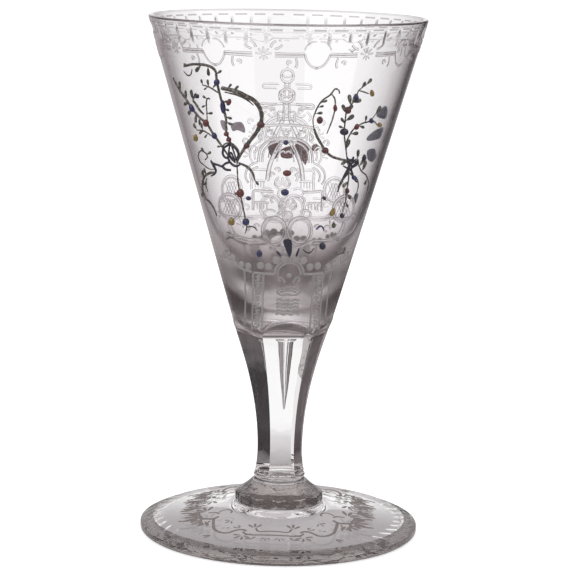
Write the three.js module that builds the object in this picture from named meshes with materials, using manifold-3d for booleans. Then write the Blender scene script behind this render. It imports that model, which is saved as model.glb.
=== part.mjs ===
// Enamelled drinking glass: a cone-shaped bowl on a six-sided facet-cut stem, a disc collar and a foot.
// Bowl, stem, collar and foot are separate gathers of glass, joined hot on flat faces. The stem's top is
// pricked with a point, and the bowl's solid base closes the hole, which leaves a tear of air in the glass.
// Twigs, leaves, beads and drapes of raised enamel are fired onto the outside of the bowl.
// Millimetres, +Z up. The origin is the centre of the resting plane, and the bowl's front faces -Y.

import * as THREE from 'three';
import { mergeVertices } from 'three/addons/utils/BufferGeometryUtils.js';
import Module from 'manifold-3d';

const wasm = await Module();
wasm.setup();

// Foot
const FOOT_DIAMETER = 89.2;
const FOOT_SEAT_HEIGHT = 9.4; // flat seat that the collar stands on
const FOOT_SHOULDER_HEIGHT = 4.2; // top of the sloping disc where the cut bevel starts
const FOOT_EDGE_TOP = 2.6;
const FOOT_EDGE_BOTTOM = 0.9;
const FOOT_BEVEL_WIDTH = 4;
const FOOT_EDGE_ROUND = 0.3;
const FOOT_REST_INSET = 1.2; // from the border in to the resting ring
const FOOT_REST_WIDTH = 4.4; // flat ring that touches the table
const FOOT_THICKNESS = 4.3; // between the sloping top and the hollow underside, which follows it
const PONTIL_RADIUS = 7; // polished dish where the pontil iron was broken off
const PONTIL_DEPTH = 0.4;
const SEAT_LEDGE = 0.4; // flat seat outside the collar's underside
const SEAT_STEP_WIDTH = 0.5;
const SEAT_STEP_DROP = 0.2;
const SLOPE_BEND_SHARE = 0.32; // part of the disc's width where its slope eases
const SLOPE_BEND_DROP = 2.4;
const FOOT_NOTCHES = 48;
const NOTCH_TURN = 38; // degrees between a notch and the foot's radius
const NOTCH_WHEEL_RADIUS = 4.2;
const NOTCH_WHEEL_WIDTH = 1.9;
const NOTCH_DEPTH = 0.4;

// Collar
const COLLAR_DIAMETER = 28.2;
const COLLAR_HEIGHT = 6.9;
const COLLAR_EDGE_HEIGHT = 2.8; // the upright edge below the cone-shaped top
const COLLAR_TOP_LEDGE = 0.35; // ledge round the stem's base
const COLLAR_EDGE_ROUND = 0.7;
const COLLAR_FACETS = 12;
const COLLAR_FACET_DEPTH = 0.42;

// Stem
const STEM_HEIGHT = 48.2;
const STEM_RING_RADIUS = 8.2; // turned ring at the stem's base, below the facets
const STEM_RING_HEIGHT = 2.6;
const STEM_RING_ROUND = 0.3;
const STEM_STEPS = 9;
const STEM_FACETS = 6;
const FACET_TURN = 7; // degrees from the front to the middle of the nearest facet
const RING_FLATS = 13.4; // across flats, just above the ring
const RING_FACET_RISE = 1.4; // upright foot of each facet, above the ring
const WAIST_FLATS = 12.5;
const WAIST_HEIGHT = 10.5; // above the stem's base
const JOINT_FLATS = 25.3; // across flats where the stem meets the bowl
const WAIST_EASE = 0.45; // share of the way from waist to joint that the facets stay nearly upright
const JOINT_FACET_SLOPE = 0.28;
const JOINT_FACET_REACH = 6; // how far below the joint the facets have their full slope
const ARCH_RISE = 6.6; // how far the facet wheel climbs onto the bowl's base
const ARCH_FLARE = 4.8;
const ARCH_BEND = 0.45; // share of the rise where the facet turns outwards
const BROAD_FACET_EXTRA = 0.35; // the front and back facets are cut a little deeper
const FACET_MARGIN = 0.35; // rough glass left outside the facets' corners before cutting

// Tear of air
const TEAR_RADIUS = 2.6;
const TEAR_CAP_RADIUS = 3.4;
const TEAR_CAP_HEIGHT = 0.7;
const TEAR_DEPTH = 24.7;
const TEAR_OFF_CENTRE = 0.8;

// Bowl
const BOWL_HEIGHT = 100.5;
const BOWL_JOINT_DIAMETER = 29.2;
const RIM_DIAMETER = 87.8; // where the outer cone would meet the rim plane
const WALL_THICKNESS = 1.5;
const BASE_THICKNESS = 10; // solid glass between the joint and the inside bottom
const WALL_SWELL_HEIGHT = 45; // below this the wall thickens towards the base
const LIP_ROUND = 0.7;
const BOWL_SIDES = 84;
const RIM_OVALS = 42;
const OVAL_TOP_GAP = 1.6; // smooth band between the lip and the cut ovals
const OVAL_HEIGHT = 5.6;
const OVAL_DEPTH = 0.22;
const OVAL_SHARE = 0.92; // part of the rim's round that the ovals take up
const OVAL_WHEEL_SIDES = 24;

// Enamel
const ENAMEL_SEAT = 0.28; // clearance between enamel and glass
const ENAMEL_CLEARANCE = 0.14; // clearance between a bead and the twig that it covers
const TWIG_RELIEF = 0.5;
const BEAD_COVER = 0.45; // how far a bead stands above the twig under it
const PLATE_RELIEF = 0.55;
const PLATE_EDGE = 0.15;
const MAIN_TWIG = 1.15;
const FINE_TWIG = 0.65;
const STALK = 0.4;
const TWIG_STEP = 3.4;
const BEAD_SIDES = 9;
const LEAF_SIDES = 8;
const LEAF_ROOT = 0.4; // how far a leaf's stalk starts inside its twig

// Heights above the resting plane
const collarBase = FOOT_SEAT_HEIGHT;
const stemBase = collarBase + COLLAR_HEIGHT;
const jointHeight = stemBase + STEM_HEIGHT;
const rimHeight = jointHeight + BOWL_HEIGHT;

const footRadius = FOOT_DIAMETER / 2;
const collarRadius = COLLAR_DIAMETER / 2;
const jointRadius = BOWL_JOINT_DIAMETER / 2;
const wallSlope = (RIM_DIAMETER / 2 - jointRadius) / BOWL_HEIGHT;
const wallTilt = Math.atan(wallSlope);

// Outer radius of the cone at a height above the joint, also below it, where the stem carries the cone on.
const coneRadius = (height) => jointRadius + wallSlope * height;

const radians = THREE.MathUtils.degToRad;
const spotXY = (x, y) => new THREE.Vector2(x, y);

// A closed geometry becomes a solid once its shared vertices are merged.
function solidOf(geometry) {
  const bare = geometry.clone();
  bare.deleteAttribute('normal');
  bare.deleteAttribute('uv');
  const merged = mergeVertices(bare, 1e-4);
  const corners = merged.index.array;
  const kept = [];
  for (let i = 0; i < corners.length; i += 3) {
    const [a, b, c] = [corners[i], corners[i + 1], corners[i + 2]];
    if (a !== b && b !== c && c !== a) kept.push(a, b, c);
  }
  return new wasm.Manifold(new wasm.Mesh({
    numProp: 3,
    vertProperties: new Float32Array(merged.attributes.position.array),
    triVerts: new Uint32Array(kept),
  }));
}

// Cuts leave slivers where faces nearly meet, and edges shorter than this are merged away.
const SHORTEST_EDGE = 0.01;

function geometryOf(solid) {
  const mesh = solid.simplify(SHORTEST_EDGE).getMesh();
  const geometry = new THREE.BufferGeometry();
  geometry.setAttribute('position', new THREE.BufferAttribute(new Float32Array(mesh.vertProperties), 3));
  geometry.setIndex(new THREE.BufferAttribute(new Uint32Array(mesh.triVerts), 1));
  return geometry;
}

// Revolves a profile of (radius, height) points about +Z.
function turned(profile, sides) {
  return new THREE.LatheGeometry(profile, sides).rotateX(Math.PI / 2);
}

function sampled(curves, stepsPerCurve) {
  const points = [];
  curves.forEach((curve, i) => {
    const part = curve.getPoints(stepsPerCurve[i]);
    points.push(...(i === 0 ? part : part.slice(1)));
  });
  return points;
}

// FACETS ON THE STEM AND THE BOWL'S BASE
// One curve of (apothem, height) gives every facet: out of the turned ring, in to the waist, up to the
// joint, and out through the cone, where each facet ends in a round arch.
const ringTop = stemBase + STEM_RING_HEIGHT;
const waistTop = stemBase + WAIST_HEIGHT;
const waistCurve = new THREE.CubicBezierCurve(
  spotXY(WAIST_FLATS / 2, waistTop),
  spotXY(WAIST_FLATS / 2, THREE.MathUtils.lerp(waistTop, jointHeight, WAIST_EASE)),
  spotXY(JOINT_FLATS / 2 - JOINT_FACET_SLOPE * JOINT_FACET_REACH, jointHeight - JOINT_FACET_REACH),
  spotXY(JOINT_FLATS / 2, jointHeight),
);
const facetCurves = [
  new THREE.QuadraticBezierCurve(
    spotXY(STEM_RING_RADIUS + 2 * STEM_RING_ROUND, ringTop - 2 * STEM_RING_ROUND),
    spotXY(RING_FLATS / 2, ringTop),
    spotXY(RING_FLATS / 2, ringTop + RING_FACET_RISE),
  ),
  new THREE.QuadraticBezierCurve(
    spotXY(RING_FLATS / 2, ringTop + RING_FACET_RISE),
    spotXY(WAIST_FLATS / 2, (ringTop + RING_FACET_RISE + waistTop) / 2),
    spotXY(WAIST_FLATS / 2, waistTop),
  ),
  waistCurve,
  new THREE.QuadraticBezierCurve(
    spotXY(JOINT_FLATS / 2, jointHeight),
    spotXY(
      JOINT_FLATS / 2 + JOINT_FACET_SLOPE * ARCH_BEND * ARCH_RISE,
      jointHeight + ARCH_BEND * ARCH_RISE,
    ),
    spotXY(JOINT_FLATS / 2 + ARCH_FLARE, jointHeight + ARCH_RISE),
  ),
];
const facetProfile = sampled(facetCurves, [4, 3, 9, 8]);

function facetApothem(height) {
  const above = facetProfile.findIndex((point) => point.y >= height);
  if (above <= 0) return facetProfile[above === 0 ? 0 : facetProfile.length - 1].x;
  const [low, high] = [facetProfile[above - 1], facetProfile[above]];
  return THREE.MathUtils.mapLinear(height, low.y, high.y, low.x, high.x);
}

// The glass outside one facet: the curve extruded along the facet's width.
function facetWaste(index) {
  const broad = index % (STEM_FACETS / 2) === 0 ? BROAD_FACET_EXTRA : 0;
  const reach = 2 * coneRadius(ARCH_RISE);
  const first = facetProfile[0];
  const last = facetProfile[facetProfile.length - 1];
  const outline = new THREE.Shape([
    ...facetProfile.map((point) => spotXY(point.x - broad, point.y)),
    spotXY(reach, last.y),
    spotXY(reach, first.y),
  ]);
  const width = 2 * reach;
  const waste = new THREE.ExtrudeGeometry(outline, { depth: width, bevelEnabled: false });
  waste.translate(0, 0, -width / 2);
  waste.rotateX(Math.PI / 2);
  waste.rotateZ(radians(FACET_TURN - 90 + (index * 360) / STEM_FACETS));
  return solidOf(waste);
}

function cutFacets(solid) {
  let cut = solid;
  for (let i = 0; i < STEM_FACETS; i++) cut = cut.subtract(facetWaste(i));
  return cut;
}

// FOOT
// A domed disc, hollowed below so that it rests on a ring, with a cut bevel and slanting notches round it.
function footSolid() {
  const seatRadius = collarRadius + SEAT_LEDGE;
  const shoulderRadius = footRadius - FOOT_BEVEL_WIDTH;
  const restOuter = footRadius - FOOT_REST_INSET;
  const restInner = restOuter - FOOT_REST_WIDTH;
  const slope = new THREE.QuadraticBezierCurve(
    spotXY(seatRadius + SEAT_STEP_WIDTH, FOOT_SEAT_HEIGHT - SEAT_STEP_DROP),
    spotXY(
      THREE.MathUtils.lerp(seatRadius, shoulderRadius, SLOPE_BEND_SHARE),
      FOOT_SEAT_HEIGHT - SLOPE_BEND_DROP,
    ),
    spotXY(shoulderRadius, FOOT_SHOULDER_HEIGHT),
  );
  const underside = slope.getPoints(4).filter((point) => point.x < restInner);
  const hollowTop = underside[0].y - FOOT_THICKNESS;
  const profile = [
    spotXY(0, hollowTop + PONTIL_DEPTH),
    spotXY(PONTIL_RADIUS * 0.7, hollowTop + PONTIL_DEPTH * 0.7),
    spotXY(PONTIL_RADIUS, hollowTop),
    ...underside.map((point) => spotXY(point.x, point.y - FOOT_THICKNESS)),
    spotXY(restInner, 0),
    spotXY(restOuter, 0),
    spotXY(footRadius - FOOT_REST_INSET / 3, FOOT_EDGE_BOTTOM / 3),
    spotXY(footRadius, FOOT_EDGE_BOTTOM),
    spotXY(footRadius, FOOT_EDGE_TOP - FOOT_EDGE_ROUND),
    spotXY(footRadius - FOOT_EDGE_ROUND, FOOT_EDGE_TOP),
    ...slope.getPoints(4).reverse(),
    spotXY(seatRadius, FOOT_SEAT_HEIGHT),
    spotXY(0, FOOT_SEAT_HEIGHT),
  ];
  let foot = solidOf(turned(profile, FOOT_NOTCHES));
  for (let i = 0; i < FOOT_NOTCHES; i++) foot = foot.subtract(notchWaste(i, shoulderRadius));
  return foot;
}

// One notch of the foot's border, cut by a wheel with a V-shaped edge.
function notchWaste(index, radius) {
  const wheel = new THREE.LatheGeometry([
    spotXY(0, -NOTCH_WHEEL_WIDTH / 2),
    spotXY(NOTCH_WHEEL_RADIUS - NOTCH_WHEEL_WIDTH * 0.45, -NOTCH_WHEEL_WIDTH / 2),
    spotXY(NOTCH_WHEEL_RADIUS, 0),
    spotXY(NOTCH_WHEEL_RADIUS - NOTCH_WHEEL_WIDTH * 0.45, NOTCH_WHEEL_WIDTH / 2),
    spotXY(0, NOTCH_WHEEL_WIDTH / 2),
  ], 14);
  wheel.rotateZ(radians(NOTCH_TURN));
  wheel.translate(0, -radius, FOOT_SHOULDER_HEIGHT + NOTCH_WHEEL_RADIUS - NOTCH_DEPTH);
  wheel.rotateZ(radians((index * 360) / FOOT_NOTCHES));
  return solidOf(wheel);
}

// COLLAR
// A pressed disc of glass with a cone-shaped top and short flat facets round its edge.
function collarSolid() {
  const edgeTop = collarBase + COLLAR_EDGE_HEIGHT;
  const top = stemBase;
  const topRadius = STEM_RING_RADIUS + STEM_RING_ROUND + COLLAR_TOP_LEDGE;
  let collar = solidOf(turned([
    spotXY(0, collarBase),
    spotXY(collarRadius - COLLAR_EDGE_ROUND, collarBase),
    spotXY(collarRadius, collarBase + COLLAR_EDGE_ROUND),
    spotXY(collarRadius, edgeTop - COLLAR_EDGE_ROUND / 2),
    spotXY(collarRadius - COLLAR_EDGE_ROUND / 2, edgeTop + COLLAR_EDGE_ROUND / 2),
    spotXY((collarRadius + topRadius) / 2, edgeTop + 0.52 * (top - edgeTop)),
    spotXY(topRadius, top),
    spotXY(0, top),
  ], 3 * COLLAR_FACETS));
  const facetPlane = collarRadius - COLLAR_FACET_DEPTH;
  for (let i = 0; i < COLLAR_FACETS; i++) {
    const waste = new THREE.BoxGeometry(COLLAR_DIAMETER, collarRadius, 2 * COLLAR_HEIGHT);
    waste.translate(0, -facetPlane - collarRadius / 2, collarBase + COLLAR_HEIGHT / 2);
    waste.rotateZ(radians(((i + 0.5) * 360) / COLLAR_FACETS));
    collar = collar.subtract(solidOf(waste));
  }
  return collar;
}

// STEM
// Turned blank, pricked from its top, then cut to six facets.
function stemSolid() {
  const cornerShare = Math.cos(Math.PI / STEM_FACETS);
  const profile = [
    spotXY(0, stemBase),
    spotXY(STEM_RING_RADIUS + STEM_RING_ROUND, stemBase),
    spotXY(STEM_RING_RADIUS - STEM_RING_ROUND, stemBase + 0.45 * STEM_RING_HEIGHT),
    spotXY(STEM_RING_RADIUS, stemBase + 0.8 * STEM_RING_HEIGHT),
  ];
  for (let i = 0; i <= STEM_STEPS; i++) {
    const height = THREE.MathUtils.lerp(ringTop + STEM_RING_ROUND, jointHeight, i / STEM_STEPS);
    const corner = facetApothem(height) / cornerShare + FACET_MARGIN;
    const blank = THREE.MathUtils.mapLinear(height, ringTop, jointHeight, STEM_RING_RADIUS, jointRadius);
    profile.push(spotXY(Math.min(corner, blank), height));
  }
  profile.push(spotXY(0, jointHeight));
  const prick = turned([
    spotXY(0, jointHeight - TEAR_DEPTH),
    spotXY(0.32 * TEAR_RADIUS, jointHeight - 0.78 * TEAR_DEPTH),
    spotXY(0.72 * TEAR_RADIUS, jointHeight - 0.4 * TEAR_DEPTH),
    spotXY(TEAR_RADIUS, jointHeight - 1.6 * TEAR_CAP_HEIGHT),
    spotXY(TEAR_CAP_RADIUS, jointHeight - 0.6 * TEAR_CAP_HEIGHT),
    spotXY(TEAR_CAP_RADIUS, jointHeight + 1),
    spotXY(0, jointHeight + 1),
  ], 12);
  prick.translate(TEAR_OFF_CENTRE, 0, 0);
  return cutFacets(solidOf(turned(profile, BOWL_SIDES / 2))).subtract(solidOf(prick));
}

// BOWL
// A straight cone whose wall thickens into a solid base, with the facets' arches and ovals round the rim.
function bowlSolid() {
  const insideRadius = (height) => coneRadius(height) - WALL_THICKNESS;
  const insideCurve = new THREE.QuadraticBezierCurve(
    spotXY(0, jointHeight + BASE_THICKNESS),
    spotXY(insideRadius(BASE_THICKNESS), jointHeight + BASE_THICKNESS),
    spotXY(insideRadius(WALL_SWELL_HEIGHT), jointHeight + WALL_SWELL_HEIGHT),
  );
  const lip = coneRadius(BOWL_HEIGHT - LIP_ROUND);
  const profile = [
    spotXY(0, jointHeight),
    spotXY(jointRadius, jointHeight),
    spotXY(lip, rimHeight - LIP_ROUND),
    spotXY(lip - 0.08, rimHeight - 0.3 * LIP_ROUND),
    spotXY(lip - 0.45 * LIP_ROUND, rimHeight),
    spotXY(lip - WALL_THICKNESS + 0.45 * LIP_ROUND, rimHeight),
    spotXY(insideRadius(BOWL_HEIGHT - LIP_ROUND), rimHeight - LIP_ROUND),
    ...insideCurve.getPoints(6).reverse(),
  ];
  let bowl = cutFacets(solidOf(turned(profile, BOWL_SIDES)));
  for (let i = 0; i < RIM_OVALS; i++) bowl = bowl.subtract(ovalWaste(i));
  return bowl;
}

// One oval of the rim, cut by a round wheel whose axle lies level, across the wall.
function ovalWaste(index) {
  const wheelRadius = (OVAL_HEIGHT / 2) ** 2 / (2 * OVAL_DEPTH);
  const middle = BOWL_HEIGHT - OVAL_TOP_GAP - OVAL_HEIGHT / 2;
  const width = (OVAL_SHARE * 2 * Math.PI * coneRadius(middle)) / RIM_OVALS;
  const wheel = new THREE.CylinderGeometry(wheelRadius, wheelRadius, width, OVAL_WHEEL_SIDES);
  wheel.rotateZ(Math.PI / 2);
  wheel.rotateX(Math.PI / OVAL_WHEEL_SIDES + wallTilt);
  const outwards = wheelRadius - OVAL_DEPTH;
  wheel.translate(
    0,
    -coneRadius(middle) - outwards * Math.cos(wallTilt),
    jointHeight + middle - outwards * Math.sin(wallTilt),
  );
  wheel.rotateZ(radians(((index + 0.5) * 360) / RIM_OVALS));
  return solidOf(wheel);
}

// ENAMEL
// Each piece is drawn flat, as arc length round the bowl, height above the joint and relief, and is then
// wrapped onto the cone. A place on the bowl is given in degrees from the front, to the right, and in
// millimetres up.
function place(degrees, height) {
  return spotXY(radians(degrees) * coneRadius(height), height);
}

function wrapOnBowl(solid) {
  const geometry = geometryOf(solid);
  const spots = geometry.attributes.position;
  for (let i = 0; i < spots.count; i++) {
    const [arc, height, relief] = [spots.getX(i), spots.getY(i), spots.getZ(i) + ENAMEL_SEAT];
    const radius = coneRadius(height) + relief * Math.cos(wallTilt);
    const angle = arc / coneRadius(height);
    spots.setXYZ(
      i,
      radius * Math.sin(angle),
      -radius * Math.cos(angle),
      jointHeight + height - relief * Math.sin(wallTilt),
    );
  }
  return geometry;
}

// A drawn line of enamel. Its section is a half-round of a few corners over a flat underside. Where a bead
// is hollowed to sit over the line, the line is grown by the clearance on all sides, also downwards.
function stroke(places, width, corners, grow = 0) {
  const path = new THREE.CatmullRomCurve3(places.map(([degrees, height]) => {
    const spot = place(degrees, height);
    return new THREE.Vector3(spot.x, spot.y, 0);
  }));
  const section = new THREE.Shape();
  for (let i = 0; i <= corners; i++) {
    const turn = (Math.PI * i) / corners;
    const x = grow - (TWIG_RELIEF + 2 * grow) * Math.sin(turn);
    const y = -(width / 2 + grow) * Math.cos(turn);
    if (i === 0) section.moveTo(x, y);
    else section.lineTo(x, y);
  }
  const steps = Math.ceil(path.getLength() / TWIG_STEP);
  return solidOf(new THREE.ExtrudeGeometry(section, { steps, extrudePath: path }));
}

// A drop of enamel with an oval outline and a domed top.
function dab(spot, width, length, turn, relief) {
  const dome = turned([
    spotXY(0, 0),
    spotXY(1, 0),
    spotXY(0.72, 0.72),
    spotXY(0, 1),
  ], BEAD_SIDES);
  dome.scale(width / 2, length / 2, relief);
  dome.rotateZ(turn);
  dome.translate(spot.x, spot.y, 0);
  return solidOf(dome);
}

// A leaf is one stroke of the brush: a fine stalk that starts on its twig and widens into a drop.
function leafSolid([baseDegrees, baseHeight, degrees, height, width, length], grow) {
  const base = place(baseDegrees, baseHeight);
  const middle = place(degrees, height);
  const along = middle.clone().sub(base);
  const tip = along.length() + length / 2 + grow;
  const drop = new THREE.ConeGeometry(1, TWIG_RELIEF + 2 * grow, LEAF_SIDES);
  drop.rotateX(Math.PI / 2);
  drop.translate(0, 0, TWIG_RELIEF / 2);
  const spots = drop.attributes.position;
  for (let i = 0; i < spots.count; i++) {
    const [across, up] = [spots.getX(i), spots.getY(i)];
    const isStalk = up < -0.3;
    const root = up < -0.9;
    const narrow = root ? -LEAF_ROOT : along.length() - length / 2;
    const reach = isStalk ? narrow : tip - ((1 - up) * length) / 2;
    const half = (isStalk ? STALK : width) / 2 + grow;
    spots.setXY(i, across * half, reach);
  }
  drop.rotateZ(Math.atan2(along.y, along.x) - Math.PI / 2);
  drop.translate(base.x, base.y, 0);
  return solidOf(drop);
}

function spraySolid(spray, grow = 0) {
  const pieces = [
    ...spray.twigs.map(({ width, places }) => stroke(places, width, width > FINE_TWIG ? 4 : 3, grow)),
    ...spray.leaves.map((leaf) => leafSolid(leaf, grow)),
  ];
  return pieces.reduce((whole, piece) => whole.add(piece));
}

// A bead sits astride the twigs of its spray.
function beadSolid({ at, width, length, turn = 0 }, twigs) {
  const relief = TWIG_RELIEF + ENAMEL_CLEARANCE + BEAD_COVER;
  const bead = dab(place(...at), width, length, radians(turn), relief);
  if (!twigs) return bead;
  const pieces = bead.subtract(twigs).decompose();
  return pieces.reduce((large, piece) => (piece.volume() > large.volume() ? piece : large));
}

// A flat painted patch with softened edges. Its outline is given in places on the bowl.
function plateSolid(outline) {
  const shape = new THREE.Shape(outline.map(([degrees, height]) => place(degrees, height)));
  const plate = new THREE.ExtrudeGeometry(shape, {
    depth: PLATE_RELIEF - 2 * PLATE_EDGE,
    bevelThickness: PLATE_EDGE,
    bevelSize: PLATE_EDGE,
    bevelOffset: -PLATE_EDGE,
    bevelSegments: 1,
  });
  plate.translate(0, 0, PLATE_EDGE);
  return solidOf(plate);
}

// Left spray: three stems bound by a bow, a broad curve to the right, arms and a hanging tendril.
const LEFT_SPRAY = {
  twigs: [
    {
      width: MAIN_TWIG,
      places: [
        [-52, 86], [-45, 87], [-37, 87], [-33, 85.6], [-33, 82], [-32, 76], [-31, 71], [-32, 67],
        [-30, 63], [-28, 58],
      ],
    },
    {
      width: MAIN_TWIG,
      places: [
        [-31, 80.4], [-24, 79.7], [-19, 78.4], [-15, 77], [-12, 74.3], [-12, 71], [-15, 67.4],
        [-20, 63.8], [-25, 60.2], [-28, 57.5],
      ],
    },
    {
      width: MAIN_TWIG,
      places: [
        [-65, 81.7], [-62, 79.1], [-57, 75.7], [-53, 73], [-49, 70.6], [-44, 68.8], [-41, 66],
        [-37, 62.8], [-33, 59.5], [-29, 57.3],
      ],
    },
    { width: FINE_TWIG, places: [[-33, 78.8], [-38, 80.4], [-42, 80.8]] },
    { width: FINE_TWIG, places: [[-40, 76.6], [-42, 74.5], [-42, 71.9], [-44, 68.8]] },
    {
      width: FINE_TWIG,
      places: [
        [-36, 60.5], [-35, 62.6], [-32, 63.4], [-29, 63.2], [-26, 61.2], [-27, 58.6],
      ],
    },
    {
      width: MAIN_TWIG,
      places: [
        [-27, 58.6], [-30, 57], [-34, 57.2], [-38, 55.9], [-43, 55.8], [-46, 53.4], [-52, 51.6],
        [-59, 49.3], [-62, 45], [-55, 43.1],
      ],
    },
    {
      width: FINE_TWIG,
      places: [
        [-49, 61.6], [-54, 59.7], [-58, 57.6], [-57, 55.4], [-51, 53.6], [-46, 53.4],
      ],
    },
    { width: MAIN_TWIG, places: [[-27, 57.4], [-22, 56.4], [-19, 54.6], [-18, 52.2]] },
    {
      width: FINE_TWIG,
      places: [
        [-28, 57.5], [-29, 50.6], [-28, 44.5], [-27, 38.6], [-27, 36.8], [-29, 34.8],
      ],
    },
    { width: FINE_TWIG, places: [[-27, 37], [-22, 37.3], [-19, 36.1]] },
  ],
  leaves: [
    [-52, 86, -50, 83.3, 0.9, 2], [-43, 87, -44, 84.4, 1.5, 2.6], [-33, 85.4, -36, 84, 1.2, 2],
    [-33, 83.6, -29, 83.5, 1.2, 1.9], [-31, 80.4, -26, 81.7, 0.9, 1.7], [-38, 80.4, -39, 82, 0.8, 1.4],
    [-36, 80, -36, 81.6, 0.8, 1.4], [-42, 80.8, -45, 80.2, 0.8, 1.4], [-62, 79.1, -60, 80.9, 0.8, 2],
    [-57, 75.7, -55, 79.3, 0.8, 2], [-54, 73.6, -51, 77.4, 1.2, 2], [-58, 76.2, -60.5, 74.2, 0.8, 1.6],
    [-54, 73.4, -58, 71, 0.8, 2], [-52, 72.4, -54, 69.4, 0.8, 1.8], [-46, 69.6, -49, 67.4, 0.8, 1.6],
    [-41, 66, -47, 65, 0.9, 1.6], [-42, 71.9, -38.5, 72, 0.8, 1.4], [-31.5, 73, -27.5, 71.8, 0.8, 1.5],
    [-22, 79.3, -24, 77.2, 0.7, 1.4], [-13, 75.4, -16.5, 74.6, 0.7, 1.5],
    [-43, 55.8, -44.5, 57.8, 1.9, 2.8],
    [-58, 57.6, -52, 57.8, 1.2, 1.8], [-59, 49.3, -56, 47.4, 0.8, 2], [-51, 53.6, -49.5, 55.4, 0.9, 1.4],
    [-18, 52.4, -16.5, 51.4, 0.7, 1.4], [-28.5, 46.8, -31.5, 48, 0.8, 1.4],
  ],
};

// Right spray: a crook to the left, a flower stem, a side twig and three hanging ends, bound by a bow.
const RIGHT_SPRAY = {
  twigs: [
    {
      width: FINE_TWIG,
      places: [
        [24.5, 79.6], [24, 80.6], [22, 81], [20, 79.2], [17, 77.8], [15, 76], [13.6, 73.6], [13, 71.4],
        [14, 68.8],
      ],
    },
    {
      width: MAIN_TWIG,
      places: [
        [14, 68.8], [16, 66.3], [19, 63.8], [22, 61.6], [26, 60], [31, 59.1], [36, 58.4], [38, 56.7],
      ],
    },
    {
      width: FINE_TWIG,
      places: [
        [20.4, 79.6], [22.6, 78], [23.4, 75.3], [23, 72], [22, 69.4], [21, 67.2],
      ],
    },
    {
      width: FINE_TWIG,
      places: [
        [37, 57.5], [34, 62], [31, 67], [30, 71.6], [30, 74.2], [32, 76.2], [34, 78.6], [34.5, 80.4],
        [38, 82],
      ],
    },
    { width: FINE_TWIG, places: [[34.5, 80.4], [38, 79.8], [41, 79.2]] },
    { width: FINE_TWIG, places: [[33, 63.4], [34, 66], [36.5, 68.6], [41, 70], [46, 70.6], [49, 72.4]] },
    { width: FINE_TWIG, places: [[46, 70.6], [50, 70.2], [53, 69]] },
    { width: MAIN_TWIG, places: [[33, 57.8], [37, 58.6], [40, 57.6], [43.5, 58.6], [46, 56.6]] },
    { width: MAIN_TWIG, places: [[39, 58], [39, 55], [36.6, 53.2], [34.6, 51], [34, 48.6]] },
    { width: FINE_TWIG, places: [[39, 55.4], [40.5, 52], [41, 48.3], [42, 45.4], [41.4, 42]] },
    { width: FINE_TWIG, places: [[39, 55], [43, 53.4], [48, 52], [50.5, 50], [51, 47.4]] },
    { width: FINE_TWIG, places: [[45, 57.2], [50, 54.6], [56, 53], [62, 50], [64, 46]] },
  ],
  leaves: [
    [17, 77.8, 17.5, 79.8, 0.8, 1.5], [15.6, 76.8, 18.6, 76.6, 0.8, 1.5], [14, 74.6, 17.4, 74.2, 0.8, 1.6],
    [30.5, 75, 27, 77.2, 1.4, 2.4], [30, 71.6, 27, 73.6, 1.1, 2], [30, 72, 33, 73.2, 1.1, 2],
    [31, 67, 26, 70.6, 1, 1.9], [31, 68, 33, 70.4, 1, 2.2], [31.4, 66.6, 26.8, 68, 0.9, 1.4],
    [32, 76.2, 29.8, 78.8, 0.9, 2], [33, 77, 36.4, 77.4, 0.9, 1.6], [34.5, 80.4, 33.4, 82.2, 0.8, 1.6],
    [38, 82, 40, 83, 1.3, 2], [41, 70, 42.6, 72, 0.9, 1.6], [40, 69.8, 43, 68.4, 0.9, 1.6],
    [36, 68, 38.6, 66.4, 0.8, 1.5], [49, 72.4, 50.5, 74.2, 0.8, 1.6], [45, 57.2, 45, 60.6, 1.1, 2.2],
    [45, 57.2, 52, 62, 1.2, 2.4], [43, 58.4, 48.4, 55.6, 1, 1.5], [41, 48.3, 44.4, 46, 0.9, 2],
    [42, 45.4, 46, 43, 0.9, 1.4], [36, 58.4, 33.4, 56.2, 1, 1.5], [56, 53, 53.6, 50.6, 0.7, 1.4],
  ],
};

const BLUE = 0x24245c;
const RED = 0x7a2a24;
const DARK_RED = 0x4e1a18;
const YELLOW = 0x8a742a;
const GREEN = 0x5c5c42;
const DARK_BLUE = 0x15152e;
const TWIG_BROWN = 0x3e3934;
const MUTED_RED = 0x6e4746;
const MUTED_BLUE = 0x626a78;
const MAUVE = 0x857a84;

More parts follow.
